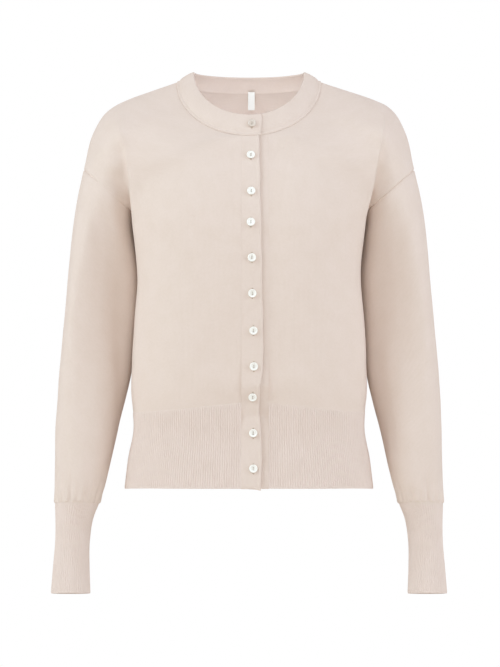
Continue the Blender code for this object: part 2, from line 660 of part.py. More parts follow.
def make_hem(rib):
    """The rib hem: two fronts and a back."""
    for side, seam_x, name in (
        (RIGHT, BAND_SEAM_RIGHT, "hem_rib_right_front"),
        (LEFT, BAND_SEAM_LEFT, "hem_rib_left_front"),
    ):
        lines = []
        for row in HEM_ROWS:
            line = hem_line(row, seam_x, side, True)
            line[0, 0] += SEAM_GAP / 2
            line[-1] += unit(line[-2] - line[-1]) * SEAM_GAP / 2
            lines.append(line * np.array((side, 1, 1)))
        rib_wall(name, lines, rib)
    lines = []
    for row in HEM_ROWS:
        half = hem_line(row, 0.0, RIGHT, False)
        half[-1] += unit(half[-2] - half[-1]) * SEAM_GAP / 2
        lines.append(np.concatenate((half[::-1] * np.array((-1, 1, 1)), half[1:])))
    rib_wall("hem_rib_back", lines, rib)


# ---------------------------------------------------------------- neckband, bands, trim

def neck_stations():
    """Ring angles of the neckband, from the top end round the neck to the end below it."""
    right = neck_start_angle(BAND_SEAM_RIGHT)
    left = neck_start_angle(BAND_SEAM_LEFT)
    top_end = -neck_start_angle(NECKBAND_END)
    under_end = 360.0 + neck_start_angle(UNDER_BAND_EDGE)
    return np.concatenate((
        np.linspace(top_end, right, 4)[:-1],
        np.linspace(right, 90.0, FRONT_NECK_STEPS + 1)[:-1],
        np.linspace(90.0, 270.0, 2 * BACK_NECK_STEPS + 1)[:-1],
        np.linspace(270.0, 360.0 - left, FRONT_NECK_STEPS + 1)[:-1],
        np.linspace(360.0 - left, under_end, 4),
    ))


def make_neckband(knit):
    """The doubled knit neckband, standing up from the neckline seam."""
    angles = neck_stations()
    up, normal = neck_seam_frame(angles)
    low = neck_point(NECK_SEAM, angles) + up * SEAM_GAP / 2
    high = neck_point(NECK_EDGE, angles - END_LEAN * np.clip(1 - (angles - angles[0]) / END_REACH, 0, 1))
    behind = lap(np.abs(low[:, 0])) * (angles > 270.0)
    low[:, 1] += behind
    high[:, 1] += behind
    middle = (low + high) / 2 + normal * NECKBAND_CROWN
    outer = np.stack((low, middle, high), axis=1)
    inner = outer - normal[:, None, :] * BAND_WALL
    inner[:, 2] -= up * INSIDE_LAP
    wall("neckband", outer, inner, knit)


def opening_front(z):
    """Depth of the centre front at height z, down to the hem."""
    rows = [(row.z + (HEM_CENTRE_RISE if row.z == HEM_ROWS[-1].z else 0), -row.front) for row in HEM_ROWS]
    rows += [(row.z, -row.front) for row in BODY_ROWS[1:-1]]
    rows += [(height, -depth) for height, depth in CENTRE_FRONT]
    rows.append(NECK_FRONT)
    return read(rows, 1, z)


def free_edge(z):
    """x of the top band's free edge at height z."""
    return read(PLACKET_ROWS, 1, z)


def band_line():
    """Heights and depths down the front opening, from the hem up to the neckline."""
    heights = np.linspace(HEM_BOTTOM, BAND_TOP, BAND_LEVELS)
    return heights, opening_front(heights)


def make_bands(knit):
    """The buttonhole band on top and the button band below it."""
    for name, behind in (("band_right", 0.0), ("band_left", LAP)):
        heights, y = band_line()
        y = y + behind
        if name == "band_right":
            first = np.full(len(heights), BAND_SEAM_RIGHT + SEAM_GAP / 2)
            last = free_edge(heights)
        else:
            first = np.full(len(heights), UNDER_BAND_EDGE)
            last = np.full(len(heights), BAND_SEAM_LEFT - SEAM_GAP / 2)
        outer = np.zeros((len(heights), BAND_COLUMNS, 3))
        for i, share in enumerate(np.linspace(0, 1, BAND_COLUMNS)):
            x = first + (last - first) * share
            outer[:, i] = np.column_stack((x, y, heights))
            top = neck_point(NECK_SEAM, neck_start_angle(x[-1]))[0]
            outer[-1, i, 1:] = top[1] + behind, top[2] - SEAM_GAP
        slope = np.gradient(y, heights)
        normals = unit(np.column_stack((np.zeros(len(y)), -np.ones(len(y)), slope)))
        normals[0] = (0, -1, 0)
        wall(name, outer, outer - normals[:, None, :] * WALL, knit)


def button_frame(row):
    """Centre on the cloth and outward direction of a button."""
    if row is BUTTON_ROWS[0]:
        angle = -np.degrees(np.arcsin(row.x / ((NECK_SEAM.half_width + NECK_EDGE.half_width) / 2)))
        _, normal = neck_seam_frame(angle)
        low, high = neck_point(NECK_SEAM, angle)[0], neck_point(NECK_EDGE, angle)[0]
        share = (row.z - low[2]) / (high[2] - low[2])
        crown = NECKBAND_CROWN * (1 - abs(2 * share - 1))
        return low + (high - low) * share + normal[0] * crown, normal[0]
    heights, depths = band_line()
    above = int(np.searchsorted(heights, row.z))
    slope = (depths[above] - depths[above - 1]) / (heights[above] - heights[above - 1])
    y = np.interp(row.z, heights, depths)
    return np.array((row.x, y, row.z)), unit(np.array((0.0, -1.0, slope)))


def make_button(name, row, pearl):
    """A small dished disc with a raised rim, lying on the top band."""
    centre, normal = button_frame(row)
    across = np.array((1.0, 0.0, 0.0))
    across = unit(across - normal * np.dot(across, normal))
    up = np.cross(normal, across)
    turns = np.arange(BUTTON_SIDES) * 2 * np.pi / BUTTON_SIDES
    vertices = []
    for radius_share, height_share in BUTTON_PROFILE:
        middle = centre + normal * (BUTTON_LIFT + BUTTON_THICKNESS * height_share)
        radius = BUTTON_RADIUS * radius_share
        vertices += [middle + (across * np.cos(t) + up * np.sin(t)) * radius for t in turns]
    faces = [tuple(range(BUTTON_SIDES))[::-1]]
    for ring in range(len(BUTTON_PROFILE) - 1):
        for i in range(BUTTON_SIDES):
            j = (i + 1) % BUTTON_SIDES
            low, high = ring * BUTTON_SIDES, (ring + 1) * BUTTON_SIDES
            faces.append((low + i, low + j, high + j, high + i))
    faces.append(tuple(range(len(vertices) - BUTTON_SIDES, len(vertices))))
    new_object(name, vertices, faces, pearl)


def make_label(satin):
    """The bare woven tab that hangs inside the back neck."""
    inner_y = neck_point(NECK_SEAM, 180.0)[0, 1] - BAND_WALL - LABEL_GAP
    x = np.linspace(LABEL_X - LABEL_WIDTH / 2, LABEL_X + LABEL_WIDTH / 2, 2)
    z = np.linspace(LABEL_TOP - LABEL_LENGTH, LABEL_TOP, 3)
    outer = np.array([[(a, inner_y, b) for a in x] for b in z])
    inner = outer - np.array((0.0, LABEL_WALL, 0.0))
    wall("neck_label", outer, inner, satin)


def clear_scene():
    """Removes what a new file starts with."""
    for old in list(bpy.data.objects):
        bpy.data.objects.remove(old, do_unlink=True)


clear_scene()
KNIT = material_of("fine jersey knit", KNIT_COLOUR, 0.9)
RIB = material_of("one by one rib knit", RIB_COLOUR, 0.9)
PEARL = material_of("pearl resin", PEARL_COLOUR, 0.3)
SATIN = material_of("woven satin tape", LABEL_COLOUR, 0.6)
make_body(KNIT)
make_sleeve(RIGHT, "sleeve_right", KNIT)
make_sleeve(LEFT, "sleeve_left", KNIT)
make_cuff(RIGHT, "cuff_right", RIB)
make_cuff(LEFT, "cuff_left", RIB)
make_hem(RIB)
make_neckband(KNIT)
make_bands(KNIT)
for number, button_row in enumerate(BUTTON_ROWS, start=1):
    make_button(f"button_{number:02d}", button_row, PEARL)
make_label(SATIN)
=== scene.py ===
"""Knitted button cardigan: the looks of its cloth, buttons and label, with floor, light and camera.

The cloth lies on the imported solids' own form, worked out again on a finer net. The tables are in
millimetres, the meshes in metres: +Z up, the front faces -Y, the wearer's right is -X.
"""

from collections import namedtuple

import bmesh
import bpy
import numpy as np
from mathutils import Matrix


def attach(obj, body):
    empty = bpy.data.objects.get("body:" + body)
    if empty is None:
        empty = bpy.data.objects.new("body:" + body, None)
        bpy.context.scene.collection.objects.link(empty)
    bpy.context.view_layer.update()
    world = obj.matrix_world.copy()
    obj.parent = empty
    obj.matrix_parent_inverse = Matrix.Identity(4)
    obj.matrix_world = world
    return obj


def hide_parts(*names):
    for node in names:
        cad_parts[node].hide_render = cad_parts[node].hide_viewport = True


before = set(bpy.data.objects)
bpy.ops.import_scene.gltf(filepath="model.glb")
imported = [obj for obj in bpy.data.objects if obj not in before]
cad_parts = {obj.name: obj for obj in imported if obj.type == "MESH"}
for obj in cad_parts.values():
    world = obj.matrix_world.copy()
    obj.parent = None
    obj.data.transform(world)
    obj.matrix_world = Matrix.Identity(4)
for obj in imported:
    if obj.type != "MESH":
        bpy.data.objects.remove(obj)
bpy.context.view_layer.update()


# ================================================================ fronts and back
# Three panels of fine-gauge cotton and viscose jersey, knitted flat and linked at the sides and
# shoulders. The shoulders drop, so the panels run on over the upper arm to a low armhole seam.

MM = 0.001
RIGHT, LEFT = -1, 1
LAP = 3.2                    # the under layer of the front opening lies this far behind the top one
LAP_END, LAP_EASE = 62.0, 34.0    # up to this x, and it comes forward again over this width
JERSEY_THICKNESS = 1.5
BAND_SEAM_RIGHT, BAND_SEAM_LEFT = -10.5, 26.5
HEM_BOTTOM = -566.0
CHEST_POWER = 3.2            # how squarely a row turns from the chest to the side
HEM_CENTRE_RISE = 15.0       # the hem seam lies this much higher at the centre front
RISE_START, RISE_HEIGHT = -300.0, 163.0
SIDE_SEAM_Y = 12.0
EDGE_INSET = 0.035           # where the front turns to the side, as a share in from the half width
LEVEL_STEP = 1.25            # length given to one degree round the armhole, between two rows

BodyRow = namedtuple("BodyRow", "z half_width front back")
BODY_ROWS = (
    BodyRow(-463, 160.3, 107, 91),
    BodyRow(-440, 163.0, 111, 95),
    BodyRow(-395, 162.0, 113, 95),
    BodyRow(-336, 158.5, 116, 93),
    BodyRow(-275, 154.5, 119, 93),
    BodyRow(-235, 157.5, 120, 95),
    BodyRow(-206, 162.0, 119, 98),
)
# the turn to the side below the underarm, from the chest to the seam: how far in, and how deep
FRONT_TURN = ((0.0, -58.0), (0.0, -34.0), (2.5, -12.0), (6.0, SIDE_SEAM_Y))
BACK_TURN = ((16.0, 66.0), (11.0, 46.0), (7.5, 28.0), (6.0, SIDE_SEAM_Y))

# one row for each angle round the armhole, 0 at the underarm and 180 at the top
UpperRow = namedtuple("UpperRow", "angle edge fold cap power bulge left_shift rise")
SHIFT_SHARES = (1.0, 0.6, 0.2)    # what the edge, fold and cap take of the left side's shift
SHOULDER_ROW = UpperRow(180, (184, 8, -33.5), (200, 9, -44.5), (218, 11, -72), 1.0, 0, 5.5, 1.5)
FRONT_ROWS = (
    UpperRow(0, (157, -58, -205), (161, -36, -204), (156.5, -10, -199), 3.2, 0, 0, 0),
    UpperRow(30, (160.5, -60, -186), (161.5, -44, -186), (159.8, -31, -187), 3.1, 6, 2, 0),
    UpperRow(60, (163, -66, -160), (164, -52, -162), (164, -43, -166), 3.0, 12, 6, 0),
    UpperRow(90, (164, -70, -134), (166.5, -59, -138), (174, -53, -145), 2.6, 13, 10, 0),
    UpperRow(120, (168, -70, -104), (173, -64, -109), (189, -60, -121), 2.2, 11, 11, 0),
    UpperRow(150, (178, -60, -72), (187, -56, -79), (207, -43, -99), 1.8, 9, 7, 0),
    SHOULDER_ROW,
)
BACK_ROWS = (
    UpperRow(0, (146, 66, -205), (151, 46, -203), (154.5, 28, -197), 3.0, 0, 0, 0),
    UpperRow(30, (150, 74, -188), (155, 63, -188), (158.8, 54, -187), 3.0, 3, 0, 0),
    UpperRow(60, (153, 82, -165), (160, 76, -167), (167, 72, -170), 2.8, 12, 0, 0),
    UpperRow(90, (156, 87, -136), (166, 83, -141), (178, 80.5, -148), 2.5, 14, 0, 0),
    UpperRow(120, (162, 86, -104), (173, 81, -110), (191, 77, -121), 2.2, 13, 0, 0),
    UpperRow(150, (174, 70, -68), (185, 65, -75), (205, 58, -94), 1.6, 8, 0, 0),
    SHOULDER_ROW,
)
CENTRE_FRONT = ((-206, 119), (-166, 111.5), (-126, 99.5), (-86, 84))
CENTRE_BACK = ((-206, 98), (-167, 101), (-128, 100), (-90, 95), (-51, 86), (-12, 73))

ARMHOLE_TOP = np.array((232.0, 12.0, -125.0))
ARMHOLE_BOTTOM = np.array((158.0, 12.0, -190.0))
ARMHOLE_MIDDLE = (ARMHOLE_TOP + ARMHOLE_BOTTOM) / 2
ARMHOLE_HALF_DEPTH = 66.0

NeckRing = namedtuple("NeckRing", "half_width side_y front_y back_y side_z front_drop back_drop")
NECK_SEAM = NeckRing(101.0, 8.0, -84.0, 73.0, -2.0, 83.5, 10.0)
NECK_EDGE = NeckRing(77.3, 8.0, -72.0, 62.0, 12.6, 68.0, 1.5)
FRONT_NECK_START = 60.0
BACK_NECK_START = 75.0

# soft creases, seen from the front or back: from one place to another, with a sideways bow;
# a height below zero is a trough, above zero a ridge
Crease = namedtuple("Crease", "x z end_x end_z bow half_width height")
RIGHT_FRONT_CREASES = (
    Crease(-137, -204, -132, -262, 3, 8, -2.2),
    Crease(-146, -232, -139, -350, 5, 12, 1.4),
    Crease(-122, -196, -118, -330, -6, 17, 1.5),
    Crease(-140, -352, -120, -446, 4, 13, -1.6),
    Crease(-96, -392, -84, -455, 2, 12, -1.0),
    Crease(-150, -128, -138, -182, -3, 8, -1.2),
    Crease(-52, -88, -76, -128, 2, 9, -0.7),
)
LEFT_FRONT_CREASES = (
    Crease(121, -212, 154, -408, 9, 10, 2.2),
    Crease(110, -236, 138, -400, 8, 13, -1.5),
    Crease(140, -200, 147, -262, -3, 8, -2.0),
    Crease(33, -95, 24, -117, 1, 2.8, -0.9),
    Crease(46, -91, 33, -121, 1, 3.0, -1.3),
    Crease(58, -86, 44, -123, 2, 3.0, -1.2),
    Crease(71, -79, 57, -114, 2, 3.4, -0.8),
    Crease(122, -372, 104, -452, -4, 13, -1.3),
    Crease(152, -126, 141, -180, 3, 8, -1.1),
)
BACK_CREASES = (
    Crease(-138, -196, -120, -322, -7, 13, -2.4),
    Crease(133, -204, 112, -300, 6, 11, -1.9),
    Crease(-118, -330, -52, -448, 10, 16, -2.0),
    Crease(124, -350, 84, -440, -8, 13, -1.6),
    Crease(-70, -60, -22, -96, 4, 12, -1.0),
    Crease(66, -58, 26, -90, -4, 10, -0.8),
    Crease(-30, -300, 18, -420, -7, 20, 1.3),
)


def unit(vectors):
    """Vectors scaled to length 1."""
    vectors = np.asarray(vectors, float)
    return vectors / np.maximum(np.linalg.norm(vectors, axis=-1, keepdims=True), 1e-12)


def spline(knots, values, at):
    """Smooth curve through values at rising knots, read at the given places."""
    knots, values, at = (np.asarray(a, float) for a in (knots, values, at))
    slopes = np.gradient(values, knots, axis=0)
    i = np.clip(np.searchsorted(knots, at, side="right") - 1, 0, len(knots) - 2)
    step = knots[i + 1] - knots[i]
    t = (at - knots[i]) / step
    shape = (-1,) + (1,) * (values.ndim - 1)
    t, step = t.reshape(shape), step.reshape(shape)
    return (
        values[i] * (2 * t**3 - 3 * t**2 + 1)
        + slopes[i] * step * (t**3 - 2 * t**2 + t)
        + values[i + 1] * (3 * t**2 - 2 * t**3)
        + slopes[i + 1] * step * (t**3 - t**2)
    )


def read(table, column, z):
    """A column of a table of heights, read smoothly at height z."""
    rows = sorted(table, key=lambda row: row[0])
    return spline([row[0] for row in rows], [row[column] for row in rows], np.atleast_1d(z))


def running(points):
    """Running length along points."""
    return np.concatenate(([0], np.cumsum(np.linalg.norm(np.diff(points, axis=0), axis=1))))


def bell(distance, reach):
    """A smooth hump, 1 at distance 0 and fading out beyond its reach."""
    return np.exp(-(distance / reach) ** 2)


SEAM_STEPS, SEAM_REACH = (0.0, 0.7, 1.5, 2.5), 4.0    # how close points stand beside a seam


def even_steps(length, step, first=True, last=True):
    """Places along a length, a step apart, closer together beside a seam at either end."""
    low, high = (SEAM_REACH if first else 0.0), length - (SEAM_REACH if last else 0.0)
    places = np.linspace(low, high, max(2, int(round((high - low) / step)) + 1))
    if first:
        places = np.concatenate((SEAM_STEPS, places))
    if last:
        places = np.concatenate((places, length - np.array(SEAM_STEPS[::-1])))
    return places


def neck_point(ring, angle):
    """Point on a neck ring; 0 degrees is the front, 90 the wearer's right, 180 the back."""
    a = np.radians(np.atleast_1d(angle))
    front = np.cos(a) > 0
    reach = np.where(front, ring.side_y - ring.front_y, ring.back_y - ring.side_y)
    drop = np.where(front, ring.front_drop, ring.back_drop)
    return np.column_stack((
        -ring.half_width * np.sin(a),
        ring.side_y - reach * np.cos(a),
        ring.side_z - drop * np.abs(np.cos(a)),
    ))


def neck_start_angle(x):
    """Neck ring angle, from the centre front, where a line at x meets the neckline seam."""
    return np.degrees(np.arcsin(abs(x) / NECK_SEAM.half_width))


def lap(x):
    """How far the left side's front lies behind the top layer, at distance x from the centre."""
    ease = np.clip((LAP_END - x) / LAP_EASE, 0, 1)
    return LAP * ease**2 * (3 - 2 * ease)


def centre_point(angle, seam_x, front):
    """Where an upper row starts: on the opening or centre back, then along the neckline."""
    table, start = (CENTRE_FRONT, FRONT_NECK_START) if front else (CENTRE_BACK, BACK_NECK_START)
    if angle < start - 1e-6:
        top = neck_point(NECK_SEAM, neck_start_angle(seam_x))[0, 2] if front else table[-1][0]
        z = table[0][0] + (top - table[0][0]) * angle / start
        depth = read(table, 1, z)[0]
        return np.array((abs(seam_x), -depth if front else depth, z))
    share = (angle - start) / (180.0 - start)
    if front:
        first = neck_start_angle(seam_x)
        point = neck_point(NECK_SEAM, first + (90.0 - first) * share)[0]
    else:
        point = neck_point(NECK_SEAM, 180.0 - 90.0 * share)[0]
    return np.array((abs(point[0]), point[1], point[2]))


def arm_ring(angle, back):
    """Point on the armhole seam, outward x; angle 0 at the underarm, 180 at the top."""
    a = np.radians(angle)
    side = ARMHOLE_HALF_DEPTH * np.sin(a) * (1 if back else -1)
    reach = ARMHOLE_BOTTOM - ARMHOLE_MIDDLE
    return ARMHOLE_MIDDLE + reach * np.cos(a) + np.array((0.0, side, 0.0))


CHEST_LENGTH = 150.0
TURN_LENGTHS = (26.0, 22.0, 40.0)     # edge to fold, fold to cap, cap to seam
BEFORE_EDGE = (8 / 9) ** 0.8          # share of the chest where its turn to the side begins
KNIT_STEP = 3.6                       # how far apart the net's points stand
PULL_REACH = 34.0                     # how much of a row moves along with its end


def chest_at(centre, edge, power, bulge, front, rise, share):
    """Points of a row across the chest or back, at shares of the way to its edge."""
    share = np.atleast_1d(share)
    points = centre + (edge - centre) * share[:, None]
    points[:, 1] = centre[1] + (edge[1] - centre[1]) * share**power
    points[:, 1] += np.sin(np.pi * share) * bulge * (-1 if front else 1)
    points[:, 2] += np.sin(np.pi * share**2) * rise
    return points


def row_points(centre, edge, fold, cap, seam, power, bulge, front, rise=0.0):
    """One row from the centre to the seam: the chest, then the turn into the fold and on."""
    shares = even_steps(CHEST_LENGTH, KNIT_STEP, last=False) / CHEST_LENGTH
    chest = chest_at(centre, edge, power, bulge, front, rise, shares)
    before = chest_at(centre, edge, power, bulge, front, rise, BEFORE_EDGE)[0]
    turn = np.array((before, edge, fold, cap, seam))
    knots = running(turn)
    places = []
    for i, length in enumerate(TURN_LENGTHS):
        steps = even_steps(length, KNIT_STEP, first=False, last=i == 2)[1:] / length
        places.append(knots[i + 1] + (knots[i + 2] - knots[i + 1]) * steps)
    return np.concatenate((chest, spline(knots, turn, np.concatenate(places))))


def body_row(row, seam_x, front):
    """A row of the body below the underarm, from the centre to the side seam, at one height."""
    rise = HEM_CENTRE_RISE * np.clip((RISE_START - row.z) / RISE_HEIGHT, 0, 1) ** 2
    if front:
        centre = np.array((abs(seam_x), -row.front, row.z + rise))
    else:
        centre = np.array((abs(seam_x), row.back, row.z))
    turn = [
        np.array((row.half_width - inset, depth, row.z))
        for inset, depth in (FRONT_TURN if front else BACK_TURN)
    ]
    if front:
        turn[0][0] = row.half_width * (1 - EDGE_INSET)
    return row_points(centre, *turn, CHEST_POWER, 0, front)


def side_rows(seam_x, side, front):
    """Knots and rows of one quarter of the body, from the hem seam to the shoulder."""
    rows = [body_row(row, seam_x, front) for row in BODY_ROWS[:-1]]
    knots = [row.z for row in BODY_ROWS[:-1]]
    for row in FRONT_ROWS if front else BACK_ROWS:
        shift = np.array((row.left_shift if side == LEFT else 0.0, 0.0, 0.0))
        edge, fold, cap = (
            np.array(point, float) + shift * share
            for point, share in zip((row.edge, row.fold, row.cap), SHIFT_SHARES)
        )
        centre = centre_point(row.angle, seam_x, front)
        seam = arm_ring(row.angle, not front)
        rows.append(row_points(
            centre, edge, fold, cap, seam, row.power, row.bulge, front, row.rise
        ))
        knots.append(BODY_ROWS[-1].z + LEVEL_STEP * row.angle)
    return np.array(knots), np.array(rows)


def pull_to(line, start):
    """Moves a line's first point to start, and those near it along with it."""
    away = np.clip(1 - running(line) / PULL_REACH, 0, 1) ** 2
    return line + (start - line[0]) * away[:, None]


def grid_normals(grid, inside):
    """Unit normals of a net of points, facing away from the inside points."""
    normals = unit(np.cross(np.gradient(grid, axis=0), np.gradient(grid, axis=1)))
    return normals * np.sign(np.sum(normals * (grid - inside)))


def body_levels():
    """Levels of the rows, the armhole angle of each, and how many lie below the underarm."""
    height = BODY_ROWS[-1].z - BODY_ROWS[0].z
    below = BODY_ROWS[0].z + even_steps(height, KNIT_STEP, last=False)[:-1]
    angles = np.concatenate((np.arange(0, 177, 3.0), (177.6, 178.7, 179.4, 180.0)))
    return np.concatenate((below, BODY_ROWS[-1].z + LEVEL_STEP * angles)), angles, len(below)


def half_body(side):
    """Front and back nets of one side, outward x."""
    seam_x = BAND_SEAM_RIGHT if side == RIGHT else BAND_SEAM_LEFT
    front_knots, front = side_rows(seam_x, side, True)
    back_knots, back = side_rows(0.0, side, False)
    top = front_knots[-1]
    knots = np.concatenate((front_knots, 2 * top - back_knots[-2::-1]))
    levels, angles, first = body_levels()
    places = np.concatenate((levels, 2 * top - levels[-2::-1]))
    grid = spline(knots, np.concatenate((front, back[-2::-1])), places)
    count = len(levels)
    for i, angle in enumerate(angles):
        for at, is_front in ((first + i, True), (len(places) - 1 - first - i, False)):
            start = centre_point(angle, seam_x if is_front else 0.0, is_front)
            line = pull_to(grid[at], start)
            grid[at] = pull_to(line[::-1], arm_ring(angle, not is_front))[::-1]
    if side == LEFT:
        grid[:count, :, 1] += lap(grid[:count, :, 0])
    return grid[:count].copy(), grid[count - 1:][::-1].copy(), first


def crease_heights(points, creases):
    """How far soft creases lift or sink points, by their x and z."""
    total = np.zeros(points.shape[:-1])
    for crease in creases:
        start = np.array((crease.x, crease.z))
        run = np.array((crease.end_x, crease.end_z)) - start
        away = points[..., (0, 2)] - start
        along = np.clip(away @ run / (run @ run), 0, 1)
        across = away - along[..., None] * run
        sideways = (across @ np.array((-run[1], run[0]))) / np.linalg.norm(run)
        beyond = np.sqrt(np.maximum(np.sum(across**2, axis=-1) - sideways**2, 0))
        off = sideways - crease.bow * 4 * along * (1 - along)
        fade = np.sin(np.pi * np.clip(along, 0.04, 0.96)) ** 0.7
        total += crease.height * fade * np.exp(-(off**2 + beyond**2) / crease.half_width**2)
    return total


def unevenness(points):
    """The slight waviness of hanging jersey: waves of unlike lengths, so that none repeats."""
    x, y, z = points[..., 0], points[..., 1], points[..., 2]
    wave = 0.40 * np.sin(x / 31 + 1.3) * np.sin(z / 47 + 0.4) + 0.26 * np.sin((x + y) / 17 - z / 29)
    return wave + 0.18 * np.sin(x / 11 + z / 16 + 2.0) * np.sin(z / 37)


def edge_distances(grid):
    """Distance of each point of a net from its first and last row and first and last column."""
    down = np.linalg.norm(np.diff(grid, axis=0), axis=-1)
    over = np.linalg.norm(np.diff(grid, axis=1), axis=-1)
    from_top = np.concatenate((np.zeros((1, grid.shape[1])), np.cumsum(down, axis=0)))
    from_side = np.concatenate((np.zeros((grid.shape[0], 1)), np.cumsum(over, axis=1)), axis=1)
    return from_top, from_top[-1] - from_top, from_side, from_side[:, -1:] - from_side


# depth of each linked seam: the shoulder and neckline, the hem (below zero it is raised), and the
# armhole by the angle round it, drawn in deeply on the left and unevenly on the right
SHOULDER_DIP, NECK_DIP = 0.35, 0.22
HEM_DIPS = {"right_front": 0.05, "left_front": -0.30, "back": 0.05}
SeamDepth = namedtuple("SeamDepth", "angle right left")
ARM_DIPS = (
    SeamDepth(0, 0.6, 0.8), SeamDepth(35, 0.25, 0.9), SeamDepth(75, 0.2, 1.1),
    SeamDepth(105, 0.4, 1.5), SeamDepth(130, 1.5, 1.9), SeamDepth(160, 1.9, 1.9),
    SeamDepth(180, 1.1, 1.5),
)
ARM_DIP_REACH = 1.1
CALM_REACH, NECK_CALM_REACH = 9.0, 7.0    # how near a seam the creases fade out


def seam_dip(distance, depth=0.8, reach=1.3):
    """How far a panel's edge turns in where it is linked to the next."""
    return -depth * bell(distance, reach)


def arm_dip(side, angle):
    """Depth of the armhole seam on one side, at an angle round it in degrees."""
    depths = [row.right if side == RIGHT else row.left for row in ARM_DIPS]
    return np.interp(180.0 - np.abs(180.0 - angle), [row.angle for row in ARM_DIPS], depths)


def net_faces(ids, closed=False):
    """Faces of a net of vertex numbers; a closed one joins round its second way."""
    if closed:
        ids = np.column_stack((ids, ids[:, :1]))
    corners = (ids[:-1, :-1], ids[:-1, 1:], ids[1:, 1:], ids[1:, :-1])
    return np.stack(corners, axis=-1).reshape(-1, 4).tolist()


def zip_strip(first, second):
    """Faces between two rows of vertex numbers side by side; the second may be coarser."""
    if len(first) == len(second):
        return np.stack((first[:-1], first[1:], second[1:], second[:-1]), axis=-1).tolist()
    faces, step, j = [], (len(first) - 1) // (len(second) - 1), 0
    for i in range(len(first) - 1):
        if i == j * step + step // 2:
            faces.append((first[i], second[j + 1], second[j]))
            j += 1
        faces.append((first[i], first[i + 1], second[j]))
    return faces


def shell(outer, inner, closed=False, open_from=0, plain=None):
    """Vertices, faces and knit coordinates of a thin wall between an outer and an inner net.

    The knit is measured on the plain net, before ribs, gathers and creases raise the outer one."""
    ids_out = np.arange(outer.shape[0] * outer.shape[1]).reshape(outer.shape[:2])
    ids_in = np.arange(inner.shape[0] * inner.shape[1]).reshape(inner.shape[:2]) + ids_out.size
    faces = net_faces(ids_out, closed) + [face[::-1] for face in net_faces(ids_in, closed)]
    for row in (0, -1):
        rim_out, rim_in = ids_out[row], ids_in[row]
        if closed:
            rim_out, rim_in = np.append(rim_out, rim_out[0]), np.append(rim_in, rim_in[0])
        faces += zip_strip(rim_out, rim_in)
    if not closed:
        for column, start in ((0, open_from), (-1, 0)):
            faces += zip_strip(ids_out[start:, column], ids_in[start:, column])
    from_top, _, from_side, _ = edge_distances(outer if plain is None else plain)
    knit = np.stack((from_side - from_side.mean(), from_top), axis=-1)
    gaps = 0 if closed else 1
    coarser = (outer.shape[1] - gaps) // (inner.shape[1] - gaps)
    vertices = np.concatenate((outer.reshape(-1, 3), inner.reshape(-1, 3)))
    return vertices, faces, np.concatenate((knit.reshape(-1, 2), knit[:, ::coarser].reshape(-1, 2)))


RIM_ANGLE = 1.15             # an edge that turns more sharply than this, in radians, is a cut rim


def hang_piece(name, mesh, material, rim_angle):
    """The object of a finished mesh, on the garment's one body, in one material."""
    mesh.set_sharp_from_angle(angle=rim_angle)
    mesh.materials.append(material)
    made = bpy.data.objects.new(name, mesh)
    bpy.context.scene.collection.objects.link(made)
    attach(made, "root")
    return made


def make_piece(name, parts, material, weld=False):
    """One object from its parts in millimetres, with their knit coordinates as its UV map."""
    vertices, faces, knit, count = [], [], [], 0
    for part_vertices, part_faces, part_knit in parts:
        faces += [[int(v) + count for v in face] for face in part_faces]
        vertices.append(part_vertices)
        knit.append(part_knit)
        count += len(part_vertices)
    mesh = bpy.data.meshes.new(name)
    mesh.from_pydata((np.concatenate(vertices) * MM).tolist(), [], faces)
    corners = np.zeros(len(mesh.loops), dtype=int)
    mesh.loops.foreach_get("vertex_index", corners)
    layer = mesh.uv_layers.new(name="knit")
    layer.data.foreach_set("uv", np.concatenate(knit)[corners].astype(float).ravel())
    work = bmesh.new()
    work.from_mesh(mesh)
    if weld:
        bmesh.ops.remove_doubles(work, verts=work.verts, dist=0.002 * MM)
    bmesh.ops.recalc_face_normals(work, faces=work.faces)
    work.to_mesh(mesh)
    work.free()
    mesh.shade_smooth()
    return hang_piece(name, mesh, material, RIM_ANGLE)


def linear(hex_colour):
    """Linear RGBA of an sRGB hex colour."""
    srgb = np.array([int(hex_colour[i:i + 2], 16) for i in (1, 3, 5)]) / 255.0
    rgb = np.where(srgb <= 0.04045, srgb / 12.92, ((srgb + 0.055) / 1.055) ** 2.4)
    return (*rgb.tolist(), 1.0)


def add_node(tree, kind, inputs=None, **settings):
    """A shader node with its settings; an input is a value, or the node or socket it comes from."""
    made = tree.nodes.new("ShaderNode" + kind)
    for key, value in settings.items():
        setattr(made, key, value)
    for key, value in (inputs or {}).items():
        if isinstance(value, bpy.types.Node):
            value = value.outputs[0]
        if isinstance(value, bpy.types.NodeSocket):
            tree.links.new(value, made.inputs[key])
        else:
            made.inputs[key].default_value = value
    return made


def new_material(name, values):
    """A material, its node tree and its shader, with the shader's plain values set."""
    material = bpy.data.materials.new(name)
    material.use_nodes = True
    shader = material.node_tree.nodes["Principled BSDF"]
    for socket, value in values.items():
        shader.inputs[socket].default_value = value
    return material, material.node_tree, shader


WALE_WIDTH, COURSE_HEIGHT = 1.7, 1.3      # mm; the real stitches, 1.1 mm, are too fine to show here
STITCH_SLANT = 0.7                        # how far a loop's legs lean, as a share of a course
LOOP_SHARE, LEG_SHARE = 0.45, 0.55        # what the loops and their legs give to the relief
# the darker tone is painted into the stitch hollows as painted shade, and also marks the dye's
# random mottle
JERSEY_COLOUR, JERSEY_SHADE = "#e9d7cb", "#e2cfc0"


